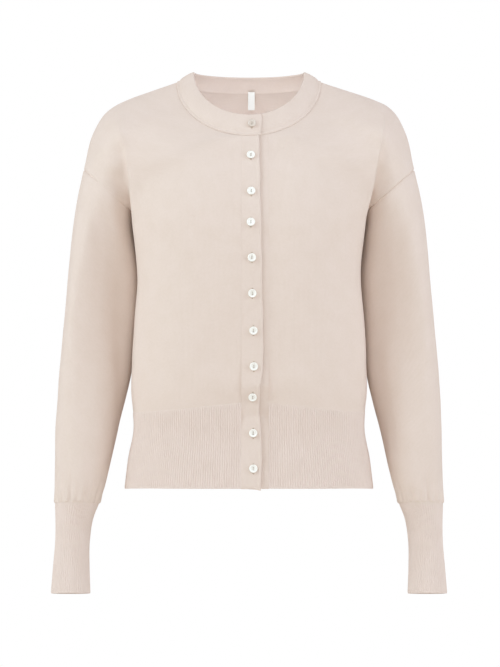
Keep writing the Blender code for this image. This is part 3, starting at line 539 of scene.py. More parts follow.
def knit_material(name, colour, shade, wale, course, relief):
    """Matte cotton and viscose yarn: chevron stitches, soft fuzz, painted shade in the stitch
    hollows, faint unevenness of the dye.

    A wale's width, a course's height and the depth of the relief are in millimetres."""
    material, tree, shader = new_material(name, {
        "Roughness": 0.92, "IOR": 1.46, "Specular IOR Level": 0.25,
        "Sheen Weight": 0.18, "Sheen Roughness": 0.45,
    })
    knit = add_node(tree, "UVMap", uv_map="knit")
    ways = add_node(tree, "SeparateXYZ", {0: knit})
    wales = add_node(tree, "Math", {0: ways.outputs["X"], 1: wale}, operation="DIVIDE")
    across = add_node(tree, "Math", {0: wales, 1: 1.0}, operation="PINGPONG")
    slant = add_node(tree, "Math", {0: across, 1: course * STITCH_SLANT}, operation="MULTIPLY")
    along = add_node(tree, "Math", {0: ways.outputs["Y"], 1: slant}, operation="ADD")
    turns = add_node(tree, "Math", {0: along, 1: 2 * np.pi / course}, operation="MULTIPLY")
    loops = add_node(tree, "Math", {0: turns}, operation="SINE")
    legs_turn = add_node(tree, "Math", {0: wales, 1: 2 * np.pi}, operation="MULTIPLY")
    legs = add_node(tree, "Math", {0: legs_turn}, operation="COSINE")
    legs_part = add_node(tree, "Math", {0: legs, 1: LEG_SHARE}, operation="MULTIPLY")
    stitches = add_node(
        tree, "Math", {0: loops, 1: LOOP_SHARE, 2: legs_part}, operation="MULTIPLY_ADD"
    )
    fuzz = add_node(
        tree, "TexNoise", {"Vector": knit, "Scale": 1.9, "Detail": 3.0, "Roughness": 0.6}
    )
    height = add_node(tree, "Math", {0: fuzz, 1: 0.9, 2: stitches}, operation="MULTIPLY_ADD")
    bump = add_node(tree, "Bump", {"Strength": 1.0, "Distance": relief * MM, "Height": height})
    cloud = add_node(
        tree, "TexNoise", {"Vector": knit, "Scale": 0.035, "Detail": 4.0, "Roughness": 0.55}
    )
    slub = add_node(
        tree, "TexNoise", {"Vector": knit, "Scale": 0.28, "Detail": 2.0, "Roughness": 0.7}
    )
    mottle = add_node(tree, "Math", {0: slub, 1: 0.7, 2: cloud}, operation="MULTIPLY_ADD")
    level = add_node(tree, "Math", {0: mottle, 1: 0.35}, operation="SUBTRACT")
    # painted shade: the colour darkens where the stitch relief is low; the mottle adds the dye's
    # random unevenness
    stitch_shade_and_mottle = add_node(tree, "Math", {0: stitches, 1: 0.22, 2: level}, operation="MULTIPLY_ADD")
    tone = add_node(
        tree, "Mix", {"Factor": stitch_shade_and_mottle, "A": linear(shade), "B": linear(colour)}, data_type="RGBA"
    )
    tree.links.new(tone.outputs["Result"], shader.inputs["Base Color"])
    tree.links.new(bump.outputs["Normal"], shader.inputs["Normal"])
    return material


# fine jersey: matte, with a faint bloom of fibre ends at grazing angles
jersey = knit_material(
    "fine cotton and viscose jersey", JERSEY_COLOUR, JERSEY_SHADE, WALE_WIDTH, COURSE_HEIGHT, 0.10
)


def dress_panel(grid, creases, front, side, neck_row, hem_dip):
    """Outer and inner net of a body panel: its creases, its waviness and its linked edges."""
    turn = np.array((side, 1, 1))
    turn = np.array((side, 1, 1))
    inside = grid * (0.45, 0.0, 1.0) + (0.0, 5.0, -60.0)
    normals = grid_normals(grid, inside)
    from_hem, from_shoulder, from_centre, from_arm = edge_distances(grid)
    calm = np.ones(grid.shape[:2])
    for distance in (from_hem, from_shoulder, from_arm):
        calm *= 1 - bell(distance, CALM_REACH)
    along_neck = (np.arange(len(grid)) >= neck_row)[:, None]
    calm *= np.where(along_neck | front, 1 - bell(from_centre, NECK_CALM_REACH), 1.0)
    lift = (crease_heights(grid * turn, creases) + unevenness(grid * turn)) * calm
    middle = grid + normals * lift[..., None]
    normals = grid_normals(middle, inside)
    if not front:
        normals[:neck_row + 1, 0, 0] = 0.0
        normals = unit(normals)
    angles = body_levels()[1]
    arm_depth = np.concatenate((np.zeros(len(grid) - len(angles)), arm_dip(side, angles)))[:, None]
    to_arm = unit(grid - ARMHOLE_MIDDLE)
    at_arm = seam_dip(from_arm, arm_depth, ARM_DIP_REACH)[..., None] * to_arm
    dip = seam_dip(from_hem, hem_dip) + seam_dip(from_shoulder, SHOULDER_DIP)
    dip += seam_dip(from_centre, NECK_DIP) * along_neck
    outer = middle + normals * dip[..., None] + at_arm
    inner = middle - normals * (JERSEY_THICKNESS - 0.5 * dip)[..., None] + 0.5 * at_arm
    return outer * turn, inner * turn


# fields for the size a panel was cut to, before it was linked and worn, in metres: width, length
# and area; no panel's size is given here
Cut = namedtuple("Cut", "width length area")
back_parts = []
angle_rows = body_levels()[1]
for side, name, creases in (
    (RIGHT, "right_front", RIGHT_FRONT_CREASES),
    (LEFT, "left_front", LEFT_FRONT_CREASES),
):
    front_grid, back_grid, underarm = half_body(side)
    front_neck = underarm + int(np.searchsorted(angle_rows, FRONT_NECK_START))
    back_neck = underarm + int(np.searchsorted(angle_rows, BACK_NECK_START))
    outer, inner = dress_panel(front_grid, creases, True, side, front_neck, HEM_DIPS[name])
    piece = make_piece(f"{name}_jersey", [shell(outer, inner, plain=front_grid)], jersey)
    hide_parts(name)
    outer, inner = dress_panel(back_grid, BACK_CREASES, False, side, back_neck, HEM_DIPS["back"])
    outer[:back_neck + 1, 0, 0] = 0.0
    inner[:back_neck + 1, 0, 0] = 0.0
    back_parts.append(shell(outer, inner, open_from=back_neck, plain=back_grid))
back_piece = make_piece("back_jersey", back_parts, jersey, weld=True)
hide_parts("back")


# ================================================================ sleeves
# Two jersey tubes, linked to the dropped armhole and drawn in by small gathers where they meet the
# cuff. They hang beside the body with long soft troughs from the outer arm to the inner elbow.

SleeveRow = namedtuple(
    "SleeveRow", "outer_x outer_z inner_x inner_z front_y back_y power lean ridge"
)
SLEEVE_ROWS = (
    SleeveRow(239.5, -160, 159.8, -209, -54, 77, 2.1, 0, 96),
    SleeveRow(246, -200, 156.5, -237, -54, 72, 2.2, 0, 108),
    SleeveRow(251, -250, 152.3, -270, -54, 65, 2.2, 0, 120),
    SleeveRow(255.3, -305, 154.2, -312, -55, 59, 2.2, 0.03, 127),
    SleeveRow(259.5, -360, 158.6, -362, -57, 53, 2.2, 0.07, 127),
    SleeveRow(264, -410, 163.4, -410, -60, 46, 2.2, 0.10, 120),
    SleeveRow(267, -450, 172, -448, -63, 39, 2.2, 0.13, 110),
    SleeveRow(269.6, -490, 182.7, -489, -66, 31, 2.2, 0.14, 100),
    SleeveRow(269.4, -530, 191.8, -530, -69, 22, 2.2, 0.14, 94),
    SleeveRow(269, -562, 199.5, -562, -70, 13, 2.2, 0.14, 90),
    SleeveRow(268.6, -577, 204.5, -577, -69.5, 8, 2.1, 0.14, 90),
    SleeveRow(268.4, -590.8, 208.3, -590.8, -68, 4, 2.0, 0.14, 90),
)
# long troughs: from one ring of the table and angle round the arm to another, their width and depth
SleeveFold = namedtuple("SleeveFold", "ring angle end_ring end_angle half_width depth")
RIGHT_SLEEVE_FOLDS = (
    SleeveFold(0.4, 108, 8.0, 14, 27, 6.0),
    SleeveFold(1.0, 222, 5.4, 335, 26, 4.0),
    SleeveFold(6.3, 150, 10.2, 118, 22, 2.6),
    SleeveFold(5.2, 300, 9.6, 250, 24, 3.0),
    SleeveFold(0.2, 98, 2.6, 62, 13, 1.2),
    SleeveFold(3.4, 172, 6.4, 128, 14, 1.0),
    SleeveFold(4.6, 62, 7.6, 24, 13, 1.4),
    SleeveFold(7.4, 84, 10.6, 68, 12, 1.1),
    SleeveFold(2.2, 262, 5.0, 232, 14, 1.2),
)
LEFT_SLEEVE_FOLDS = (
    SleeveFold(0.3, 80, 5.8, 70, 28, 5.4),
    SleeveFold(3.4, 66, 9.2, 20, 26, 4.6),
    SleeveFold(1.4, 24, 5.8, 18, 26, 4.2),
    SleeveFold(1.4, 238, 6.0, 322, 24, 3.7),
    SleeveFold(7.0, 174, 10.8, 152, 21, 2.4),
    SleeveFold(5.6, 292, 9.8, 246, 24, 3.0),
    SleeveFold(1.6, 152, 4.6, 128, 12, 0.9),
    SleeveFold(4.2, 98, 6.6, 66, 13, 1.0),
    SleeveFold(6.4, 54, 9.4, 40, 13, 1.3),
    SleeveFold(7.8, 112, 10.8, 98, 12, 1.2),
    SleeveFold(6.8, 205, 10.4, 198, 13, 1.2),
)
# gathers above the cuff: angle round the arm, how far up they reach and how deep they are
Gather = namedtuple("Gather", "angle reach depth half_width")
GATHERS = (
    Gather(8, 17, 1.5, 6.0), Gather(30, 22, 2.0, 5.5), Gather(49, 15, 1.6, 5.0),
    Gather(66, 25, 2.2, 5.5), Gather(86, 18, 1.7, 5.0), Gather(103, 27, 2.3, 5.5),
    Gather(124, 19, 1.9, 5.5), Gather(145, 23, 2.0, 6.0), Gather(170, 17, 1.5, 6.0),
    Gather(196, 22, 1.9, 6.0), Gather(219, 16, 1.6, 5.5), Gather(240, 24, 2.1, 5.5),
    Gather(262, 18, 1.7, 5.5), Gather(285, 21, 2.0, 5.5), Gather(308, 16, 1.6, 5.5),
    Gather(333, 20, 1.8, 6.0),
)
GATHER_DRAW = 1.5                     # how much deeper the finished cloth is drawn in
PUFF_HEIGHT, PUFF_REACH = 2.2, 18.0   # the cloth stands out over the cuff between the gathers
SLEEVE_COLUMNS, SLEEVE_STEP = 108, 4.0


def sleeve_ring(row, angles):
    """Outer points of a sleeve ring, outward x; angle 0 at the inner arm, 90 at the front."""
    a = np.radians(angles)
    inner = np.array((row.inner_x, row.inner_z))
    outer = np.array((row.outer_x, row.outer_z))
    middle, reach = (inner + outer) / 2, (inner - outer) / 2
    turned = np.radians(np.interp(angles, (0, row.ridge, 180, 360), (0, 90, 180, 360)))
    across = np.sign(np.cos(a)) * np.abs(np.cos(a)) ** (2 / row.power)
    deep = np.sign(np.sin(turned)) * np.abs(np.sin(turned)) ** (2 / row.power)
    half_depth = (row.back_y - row.front_y) / 2
    xz = middle + reach * across[:, None]
    y = (row.back_y + row.front_y) / 2 - half_depth * deep
    return np.column_stack((xz[:, 0], y, xz[:, 1] + row.lean * half_depth * deep))


def tube_normals(rings):
    """Outward normals of rings that close round."""
    along = np.gradient(rings, axis=0)
    across = np.roll(rings, -1, axis=1) - np.roll(rings, 1, axis=1)
    normals = unit(np.cross(along, across))
    return normals * np.sign(np.sum(normals * (rings - rings.mean(axis=1, keepdims=True))))


def turn_away(angles, middle):
    """Angles counted from a middle, from -180 to 180."""
    return (angles - middle + 180.0) % 360.0 - 180.0


def sleeve_relief(folds, levels, angles, from_cuff):
    """How far the troughs sink and the gathers wave a sleeve's points."""
    relief = np.zeros((len(levels), len(angles)))
    for fold in folds:
        along = np.clip((levels - fold.ring) / (fold.end_ring - fold.ring), 0, 1)[:, None]
        middle = fold.angle + (fold.end_angle - fold.angle) * along
        away = turn_away(angles[None, :], middle)
        relief -= fold.depth * np.sin(np.pi * along) ** 0.8 * bell(away, fold.half_width)
    for gather in GATHERS:
        away = turn_away(angles, gather.angle)[None, :]
        rise = np.exp(-(from_cuff / gather.reach) ** 1.6)
        relief -= GATHER_DRAW * gather.depth * rise * bell(away, gather.half_width)
    relief += PUFF_HEIGHT * np.exp(-(from_cuff / PUFF_REACH) ** 1.6)
    return relief * (1 - bell(from_cuff, 1.8))


angles = np.arange(SLEEVE_COLUMNS) * 360.0 / SLEEVE_COLUMNS
seam_ring = np.array([arm_ring(360 - a, True) if a > 180 else arm_ring(a, False) for a in angles])
sleeve_table = np.array([seam_ring] + [sleeve_ring(row, angles) for row in SLEEVE_ROWS])
ring_numbers = np.arange(len(sleeve_table))
between = np.linspace(0, ring_numbers[-1], 8 * ring_numbers[-1] + 1)
arm_length = running(spline(ring_numbers, sleeve_table, between).mean(axis=1))
from_seam = even_steps(arm_length[-1], SLEEVE_STEP)
sleeve_levels = np.interp(from_seam, arm_length, between)
sleeve_rings = spline(ring_numbers, sleeve_table, sleeve_levels)
sleeve_outward = tube_normals(sleeve_rings)
from_cuff = (from_seam[-1] - from_seam)[:, None]
from_seam = from_seam[:, None]
for side, name, folds in (
    (RIGHT, "sleeve_right", RIGHT_SLEEVE_FOLDS),
    (LEFT, "sleeve_left", LEFT_SLEEVE_FOLDS),
):
    turn = np.array((side, 1, 1))
    lift = sleeve_relief(folds, sleeve_levels, angles, from_cuff)
    lift += unevenness(sleeve_rings * turn) * np.clip(from_seam / 12.0, 0, 1)
    lift *= 1 - bell(from_seam, CALM_REACH)
    rings = sleeve_rings + sleeve_outward * lift[..., None]
    to_arm = unit(rings - ARMHOLE_MIDDLE)
    at_arm = seam_dip(from_seam, arm_dip(side, angles), ARM_DIP_REACH)[..., None] * to_arm
    outer = (rings + at_arm) * turn
    inner = (rings - tube_normals(rings) * JERSEY_THICKNESS + 0.5 * at_arm) * turn
    wall = shell(outer, inner, closed=True, plain=sleeve_rings)
    piece = make_piece(f"{name}_jersey", [wall], jersey)
    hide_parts(name)


# ================================================================ rib cuffs
# Long tubes of one by one rib, knitted down from the sleeve: each rib is a real ridge, 3.3 mm from
# the next. The rib draws in under the gathers and flares a little towards its cast-off edge.

RIB_PITCH, RIB_HEIGHT = 3.3, 0.9
RIB_COLUMNS = 6              # points across each rib
RIB_THICKNESS = 2.0
CUFF_RIBS = 54
CUFF_RIB_SHARE = 0.75        # the cuff's ribs are stretched over the arm, and so lower
CUFF_ROWS = (
    SleeveRow(268.4, -590.9, 208.3, -590.9, -68, 4, 2.0, 0.14, 90),
    SleeveRow(267.7, -605, 214.3, -605, -66, 0, 2.0, 0.14, 90),
    SleeveRow(267.6, -640, 220.4, -640, -66, -8, 2.0, 0.14, 90),
    SleeveRow(270.0, -675, 220.4, -675, -71, -12, 2.0, 0.14, 90),
    SleeveRow(272.6, -713, 218.6, -713, -79, -16, 2.0, 0.14, 90),
)

# rib: the same yarn, its stitches lie along the ridges and the furrows between them stay dark, from
# the relief and from painted shade in the stitch hollows
rib_knit = knit_material(
    "one by one rib knit", "#ead8cd", "#e3d0c3", RIB_PITCH / 2, COURSE_HEIGHT, 0.12
)


def rib_wave(count, closed):
    """Height of the rib relief for points across count ribs, with flat-bottomed furrows."""
    columns = count * RIB_COLUMNS + (0 if closed else 1)
    phase = np.arange(columns) / RIB_COLUMNS * 2 * np.pi
    return RIB_HEIGHT * ((0.5 - 0.5 * np.cos(phase)) ** 0.75 - 0.5)


def edge_roll(distance):
    """Relief towards a rib's cast-off edge: a fine groove, then the rounded edge."""
    return -0.25 * bell(distance - 6.0, 1.2) - 0.25 * bell(distance, 0.6)


def end_fade(steps):
    """How the ribs die away at both ends of their length, where they are linked or cast off."""
    return ((1 - bell(steps, 1.6)) * (1 - bell(steps[-1] - steps, 1.6)))[:, None]


cuff_angles = np.arange(CUFF_RIBS * RIB_COLUMNS) * 360.0 / (CUFF_RIBS * RIB_COLUMNS)
cuff_table = np.array([sleeve_ring(row, cuff_angles) for row in CUFF_ROWS])
cuff_knots = np.array([CUFF_ROWS[0].outer_z - row.outer_z for row in CUFF_ROWS])
cuff_steps = even_steps(cuff_knots[-1], 4.5)
cuff_rings = spline(cuff_knots, cuff_table, cuff_steps)
cuff_outward = tube_normals(cuff_rings)
cuff_flat = edge_roll(cuff_knots[-1] - cuff_steps)[:, None]
cuff_lift = CUFF_RIB_SHARE * rib_wave(CUFF_RIBS, True) * end_fade(cuff_steps) + cuff_flat
cuff_lift += 0.5 * unevenness(cuff_rings) * np.clip(cuff_steps / 12.0, 0, 1)[:, None]
hold = (RIB_THICKNESS + 0.6 * cuff_flat)[..., None]
for side, name in ((RIGHT, "cuff_right"), (LEFT, "cuff_left")):
    turn = np.array((side, 1, 1))
    outer = (cuff_rings + cuff_outward * cuff_lift[..., None]) * turn
    inner = (cuff_rings - cuff_outward * hold)[:, ::RIB_COLUMNS] * turn
    wall = shell(outer, inner, closed=True, plain=cuff_rings)
    piece = make_piece(f"{name}_rib", [wall], rib_knit)
    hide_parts(name)


# ================================================================ rib hem
# A deep band of the same one by one rib in three lengths, linked to the jersey above, where it
# draws the body in; it stops at the plain bands of the opening and flares to its cast-off edge.

HEM_ROWS = (
    BodyRow(HEM_BOTTOM, 171.5, 114, 101),
    BodyRow(-530, 166.6, 110, 96),
    BodyRow(-487, 159.6, 106, 90),
    BODY_ROWS[0],
)
RIBS_IN_STEP = 3             # a panel's ribs come in whole threes
# how far the cast-off edge lies above its own level, by depth from the front to the back; below
# zero it hangs lower
EDGE_HANGS = (
    (-114, 1.9), (-85, 0.3), (-50, -2.4), (-18, -4.3), (12, -1.6), (45, -0.8), (101, 0.0),
)


def hem_line(row, seam_x, side, front):
    """One height of the rib hem, from the opening or centre back to the side seam."""
    line = body_row(row, seam_x, front)
    if row is not HEM_ROWS[-1]:
        line[:, 2] = row.z
    if row is HEM_ROWS[0]:
        line[:, 2] += read(EDGE_HANGS, 1, line[:, 1])
    if side == LEFT and front:
        line[:, 1] += lap(line[:, 0])
    return line


def even_points(line, places):
    """Points of a line at shares of its length."""
    knots = running(line)
    return np.column_stack([np.interp(places * knots[-1], knots, line[:, i]) for i in range(3)])


def rib_panel(lines, hem_dip):
    """The wall of a ribbed panel over its lines of points, from the bottom up."""
    width = running(lines[0])[-1]
    ribs = RIBS_IN_STEP * int(round(width / RIB_PITCH / RIBS_IN_STEP))
    shares = np.linspace(0, 1, ribs * RIB_COLUMNS + 1)
    table = np.array([even_points(line, shares) for line in lines])
    knots = np.array([row.z for row in HEM_ROWS], float)
    steps = even_steps(knots[-1] - knots[0], 4.6)
    net = spline(knots, table, knots[0] + steps)
    outward = grid_normals(net, net * (0.2, 0.0, 1.0) + (0.0, 5.0, 0.0))
    flat = (edge_roll(steps) + seam_dip(steps[-1] - steps, hem_dip, 1.4))[:, None]
    ends = np.minimum(shares, 1 - shares) * width
    lift = rib_wave(ribs, False) * (1 - bell(ends, 1.3)) * end_fade(steps) + flat
    calm = np.clip(ends / 12.0, 0, 1) * np.clip((steps[-1] - steps) / 15.0, 0, 1)[:, None]
    lift += 1.3 * unevenness(net) * calm
    outer = net + outward * lift[..., None]
    inner = (net - outward * (RIB_THICKNESS + 0.6 * flat)[..., None])[:, ::RIB_COLUMNS]
    return shell(outer, inner, plain=net)


hem_lines = {"right_front": [], "left_front": [], "back": []}
for row in HEM_ROWS:
    for side, seam_x, name in (
        (RIGHT, BAND_SEAM_RIGHT, "right_front"),
        (LEFT, BAND_SEAM_LEFT, "left_front"),
    ):
        hem_lines[name].append(hem_line(row, seam_x, side, True) * np.array((side, 1, 1)))
    half = hem_line(row, 0.0, RIGHT, False)
    hem_lines["back"].append(np.concatenate((half[::-1] * np.array((-1, 1, 1)), half[1:])))
for name, lines in hem_lines.items():
    piece = make_piece(f"hem_rib_{name}_knit", [rib_panel(lines, HEM_DIPS[name])], rib_knit)
    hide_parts(f"hem_rib_{name}")


# ================================================================ neckband
# One strip of doubled jersey, folded along its upper edge and linked to the neckline. It stands up
# round the neck, and its ends pass over each other at the front, the wearer's right on top.

NECKBAND_HEIGHT, NECKBAND_CROWN = 34.0, 1.6
BAND_THICKNESS = 2.4         # two layers of jersey, pressed flat
NECKBAND_END = 16.0          # where its upper end stops, over the buttonhole band
UNDER_BAND_EDGE = -3.5       # and its lower end, with the free edge of the button band
END_LEAN, END_REACH = 4.2, 12.0
CORNER_RADIUS, CORNER_LENGTH = 3.0, 1.5   # length along the band for each degree round the neck
END_LENGTH = 1.7
BAND_SHARES = np.array((
    0.0, 0.02, 0.045, 0.07, 0.1, 0.14, 0.18, 0.23, 0.3, 0.4, 0.5, 0.6, 0.7, 0.8, 0.88, 0.94, 0.98,
))
FOLD_TURNS = np.radians((30, 60, 90, 120, 150))
NECKBAND_PLACES = 210


def neck_frame(angle):
    """Cloth direction up across the neckline seam, and its outward normal, at ring angles."""
    angle = np.asarray(angle)
    up = unit(neck_point(NECK_EDGE, angle) - neck_point(NECK_SEAM, angle))
    along = unit(neck_point(NECK_SEAM, angle + 1) - neck_point(NECK_SEAM, angle - 1))
    normal = unit(np.cross(up, along))
    middle = np.array((0.0, 0.0, -200.0))
    facing = np.sum(normal * (neck_point(NECK_SEAM, angle) - middle), axis=1, keepdims=True)
    return up, normal * np.sign(facing)


def rod(loops, across, along):
    """Vertices, faces and knit coordinates of closed sections in a row, with closed ends."""
    ids = np.arange(loops.shape[0] * loops.shape[1]).reshape(loops.shape[:2])
    faces = net_faces(ids, closed=True) + [ids[0].tolist()[::-1], ids[-1].tolist()]
    knit = np.stack(np.meshgrid(across, along), axis=-1)
    return loops.reshape(-1, 3), faces, knit.reshape(-1, 2)


def strip(loops):
    """A doubled strip of knit from its closed sections."""
    section = loops[len(loops) // 2]
    across = running(np.concatenate((section, section[:1])))[:-1]
    return rod(loops, across, running(loops.mean(axis=1)))


first_angle = -neck_start_angle(NECKBAND_END)
last_angle = 360.0 + neck_start_angle(UNDER_BAND_EDGE)
neck_angles = np.concatenate((
    first_angle + np.array((0.0, 0.35, 0.8)),
    np.linspace(first_angle + 1.6, last_angle - 1.6, NECKBAND_PLACES),
    last_angle - np.array((0.8, 0.35, 0.0)),
))
neck_up, neck_out = neck_frame(neck_angles)
from_end = neck_angles - first_angle
lean = END_LEAN * np.clip(1 - from_end / END_REACH, 0, 1)
neck_low, neck_high = neck_point(NECK_SEAM, neck_angles), neck_point(NECK_EDGE, neck_angles - lean)
corner = CORNER_RADIUS - np.clip(from_end * CORNER_LENGTH, 0, CORNER_RADIUS)
neck_high -= neck_up * (CORNER_RADIUS - np.sqrt(CORNER_RADIUS**2 - corner**2))[:, None]
behind = np.outer(lap(np.abs(neck_low[:, 0])) * (neck_angles > 270.0), (0.0, 1.0, 0.0))
neck_low, neck_high = neck_low + behind, neck_high + behind
end_distance = np.minimum(from_end, last_angle - neck_angles) * END_LENGTH
end_round = -0.9 * bell(end_distance, 1.1)


def neckband_line(share, relief):
    """One line along the neckband at a share of its height, lifted off it by the relief."""
    crown = NECKBAND_CROWN * 4 * share * (1 - share)
    return neck_low + (neck_high - neck_low) * share + neck_out * (crown + relief)[:, None]


loop = []
for share in BAND_SHARES:
    up = share * NECKBAND_HEIGHT
    seam_bead = 0.85 * bell(up - 1.6, 1.5) - 0.8 * bell(up - 5.4, 2.2)
    ripple = 0.35 * np.sin(neck_angles / 7.0) * np.sin(neck_angles / 17.0 + 1.0) * share
    loop.append(neckband_line(share, seam_bead + ripple + end_round))
half = BAND_THICKNESS / 2
for turn_angle in FOLD_TURNS:
    top = neck_high - neck_up * half - neck_out * half
    loop.append(top + (neck_up * np.sin(turn_angle) + neck_out * np.cos(turn_angle)) * half)
for share in BAND_SHARES[::-1][1:]:
    inner_bead = 0.7 * bell(share * NECKBAND_HEIGHT, 1.3)
    loop.append(neckband_line(share, inner_bead - BAND_THICKNESS - end_round))
neckband = make_piece("neckband_jersey", [strip(np.stack(loop, axis=1))], jersey)
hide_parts("neckband")


# ================================================================ front bands
# Two strips of doubled jersey down the opening. The buttonhole band lies on top, its folded free
# edge wavering a little between the buttons; the button band lies under it and shows as a narrow
# strip.

PlacketRow = namedtuple("PlacketRow", "z free_edge")
PLACKET_ROWS = (
    PlacketRow(-566, 15.5),
    PlacketRow(-537, 17.0),
    PlacketRow(-489, 16.4),
    PlacketRow(-452, 13.8),
    PlacketRow(-400, 18.6),
    PlacketRow(-300, 18.0),
    PlacketRow(-200, 16.4),
    PlacketRow(-113, 14.6),
    PlacketRow(-60, 14.2),
)
ButtonRow = namedtuple("ButtonRow", "x z")
BUTTON_ROWS = (
    ButtonRow(4.0, -69.2), ButtonRow(2.6, -112.9), ButtonRow(3.1, -162.8), ButtonRow(2.6, -205.0),
    ButtonRow(3.9, -252.7), ButtonRow(4.6, -300.8), ButtonRow(6.1, -351.0), ButtonRow(6.6, -399.3),
    ButtonRow(5.0, -440.6), ButtonRow(5.7, -489.6), ButtonRow(5.9, -537.3),
)
BAND_TOP = -86.5
BAND_GAP = 0.05              # how far the bands stay clear of the panels' edges
NECKBAND_FOOT = (-60.0, -74.5)    # height and depth of the centre front, behind the neckband
SEAT_REACH = 18.0            # the bands bend to the neckline over this length
DROOP, DROOP_REACH = 2.4, 22.0    # the top band's lower end hangs out of level by its free edge
SOLID_BAND_LEVELS = 25       # the solid bands are straight between this many levels
# how far the folded free edge of the top band stands off the under layer, by height
EDGE_LIFTS = (
    (-566, 2.0), (-500, 1.7), (-452, 1.2), (-400, 0.8), (-330, 0.4),
    (-260, 0.3), (-190, 0.5), (-130, 1.1), (-60, 1.4),
)
# the two small pulls at each button: how much they lean, how far they reach, how deep they are
PULLS = ((0.10, 30.0, 0.55), (-0.16, 22.0, 0.4))


def opening_front(z):
    """Depth of the centre front at height z, down to the hem."""
    rows = [(row.z, -row.front) for row in HEM_ROWS[:-1] + BODY_ROWS[1:-1]]
    rows.append((HEM_ROWS[-1].z + HEM_CENTRE_RISE, -HEM_ROWS[-1].front))
    rows += [(height, -depth) for height, depth in CENTRE_FRONT]
    rows.append(NECKBAND_FOOT)
    return read(rows, 1, z)


BAND_LEVELS = np.linspace(HEM_BOTTOM, BAND_TOP, SOLID_BAND_LEVELS)
BAND_DEPTHS = opening_front(BAND_LEVELS)
BAND_HEIGHTS = np.concatenate((
    HEM_BOTTOM + np.array((1.5, 2.2, 3.0)), np.arange(HEM_BOTTOM + 4.5, BAND_TOP - 3.0, 3.5),
    BAND_TOP + np.array((-1.5, -0.7, 0.0)),
))
# places across a band, from its seam to its free edge
BAND_PLACES = np.array(
    (0.0, 0.03, 0.07, 0.15, 0.28, 0.42, 0.56, 0.7, 0.8, 0.86, 0.9, 0.95, 0.98, 1.0)
)


def band_loops(first, last, behind, free_last):
    """Closed sections of a front band, from its lower end up; its free edge is rounded."""
    first, last = (np.broadcast_to(edge, BAND_HEIGHTS.shape) for edge in (first, last))
    y = np.interp(BAND_HEIGHTS, BAND_LEVELS, BAND_DEPTHS) + behind
    slope = np.gradient(y, BAND_HEIGHTS)
    outward = unit(np.column_stack((np.zeros(len(y)), -np.ones(len(y)), slope)))
    end_round = -0.8 * bell(BAND_HEIGHTS - BAND_HEIGHTS[0], 1.2)
    lifts = read(EDGE_LIFTS, 1, BAND_HEIGHTS) if free_last else 0.0
    places = BAND_PLACES if free_last else (1 - BAND_PLACES)[::-1]
    lines = []
    for face, face_places in (("outer", places), ("inner", places[::-1])):
        for share in face_places:
            x = first + (last - first) * share
            to_free = (last - first) * (1 - share if free_last else share)
            rounding = -bell(to_free, 0.9)
            flare = lifts * bell(to_free, 3.4)
            if face == "outer":
                offset = rounding + flare + end_round
            else:
                offset = -BAND_THICKNESS - rounding + 0.7 * flare - end_round
            lines.append(np.column_stack((x, y, BAND_HEIGHTS)) + outward * offset[:, None])
    return np.stack(lines, axis=1)


def seat_on_neckline(loops):
    """Bends the top of a band so that it ends on the neckline seam."""
    near_top = np.clip(1 - (BAND_TOP - loops[..., 2]) / SEAT_REACH, 0, 1) ** 2
    for column in range(loops.shape[1]):
        seam = neck_point(NECK_SEAM, neck_start_angle(loops[-1, column, 0]))[0]
        loops[:, column, 2] += (seam[2] - 0.1 - BAND_TOP) * near_top[:, column]
        loops[:, column, 1] += (seam[1] - BAND_DEPTHS[-1]) * near_top[:, column]
    return loops


def pull_lines(points):
    """How far the small sideways pulls that each button draws in the top layer sink it."""
    total = np.zeros(points.shape[:-1])
    from_band_seam = np.clip((points[..., 0] - BAND_SEAM_RIGHT) / 6.0, 0, 1)
    for number, row in enumerate(BUTTON_ROWS[1:]):
        to_button = row.x - points[..., 0]
        for lean, reach, depth in PULLS:
            rise = to_button * lean * (1 if number % 2 else -1)
            along = np.clip(to_button / (reach + 3.0 * (number % 3)), -0.1, 1)
            near = bell(points[..., 2] - row.z - rise, 2.6)
            pull = np.sin(np.pi * np.clip(along * 0.9 + 0.1, 0, 1))
            total += depth * near * pull * from_band_seam
    return total


waver = 0.5 * np.sin(BAND_HEIGHTS / 7.6 + 1.0) * np.sin(BAND_HEIGHTS / 31.0)
folded_edge = read(PLACKET_ROWS, 1, BAND_HEIGHTS) + waver
upper = band_loops(BAND_SEAM_RIGHT + BAND_GAP, folded_edge, 0.0, True)
droop = DROOP * np.exp(-(BAND_HEIGHTS - HEM_BOTTOM) / DROOP_REACH)[:, None]
upper[..., 2] -= droop * np.clip(upper[..., 0] / PLACKET_ROWS[0].free_edge, 0, 1) ** 2
in_front = upper[..., 1] < upper[..., 1].mean(axis=1, keepdims=True)
upper[..., 1] += pull_lines(upper) * in_front
lower = band_loops(UNDER_BAND_EDGE, BAND_SEAM_LEFT - BAND_GAP, LAP, False)
for name, loops, width in (("band_right", upper, 0.0285), ("band_left", lower, 0.030)):
    piece = make_piece(f"{name}_jersey", [strip(seat_on_neckline(loops))], jersey)
    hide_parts(name)


# ================================================================ buttonholes
# Each button comes through an upright slit in the top band, edged with close buttonhole stitches in
# yarn of the same colour; only its ends show above and below the button.

BUTTONHOLE_HALF, BUTTONHOLE_WIDTH = 7.0, 1.2
STITCHES, STITCH_RADIUS = 34, 0.36


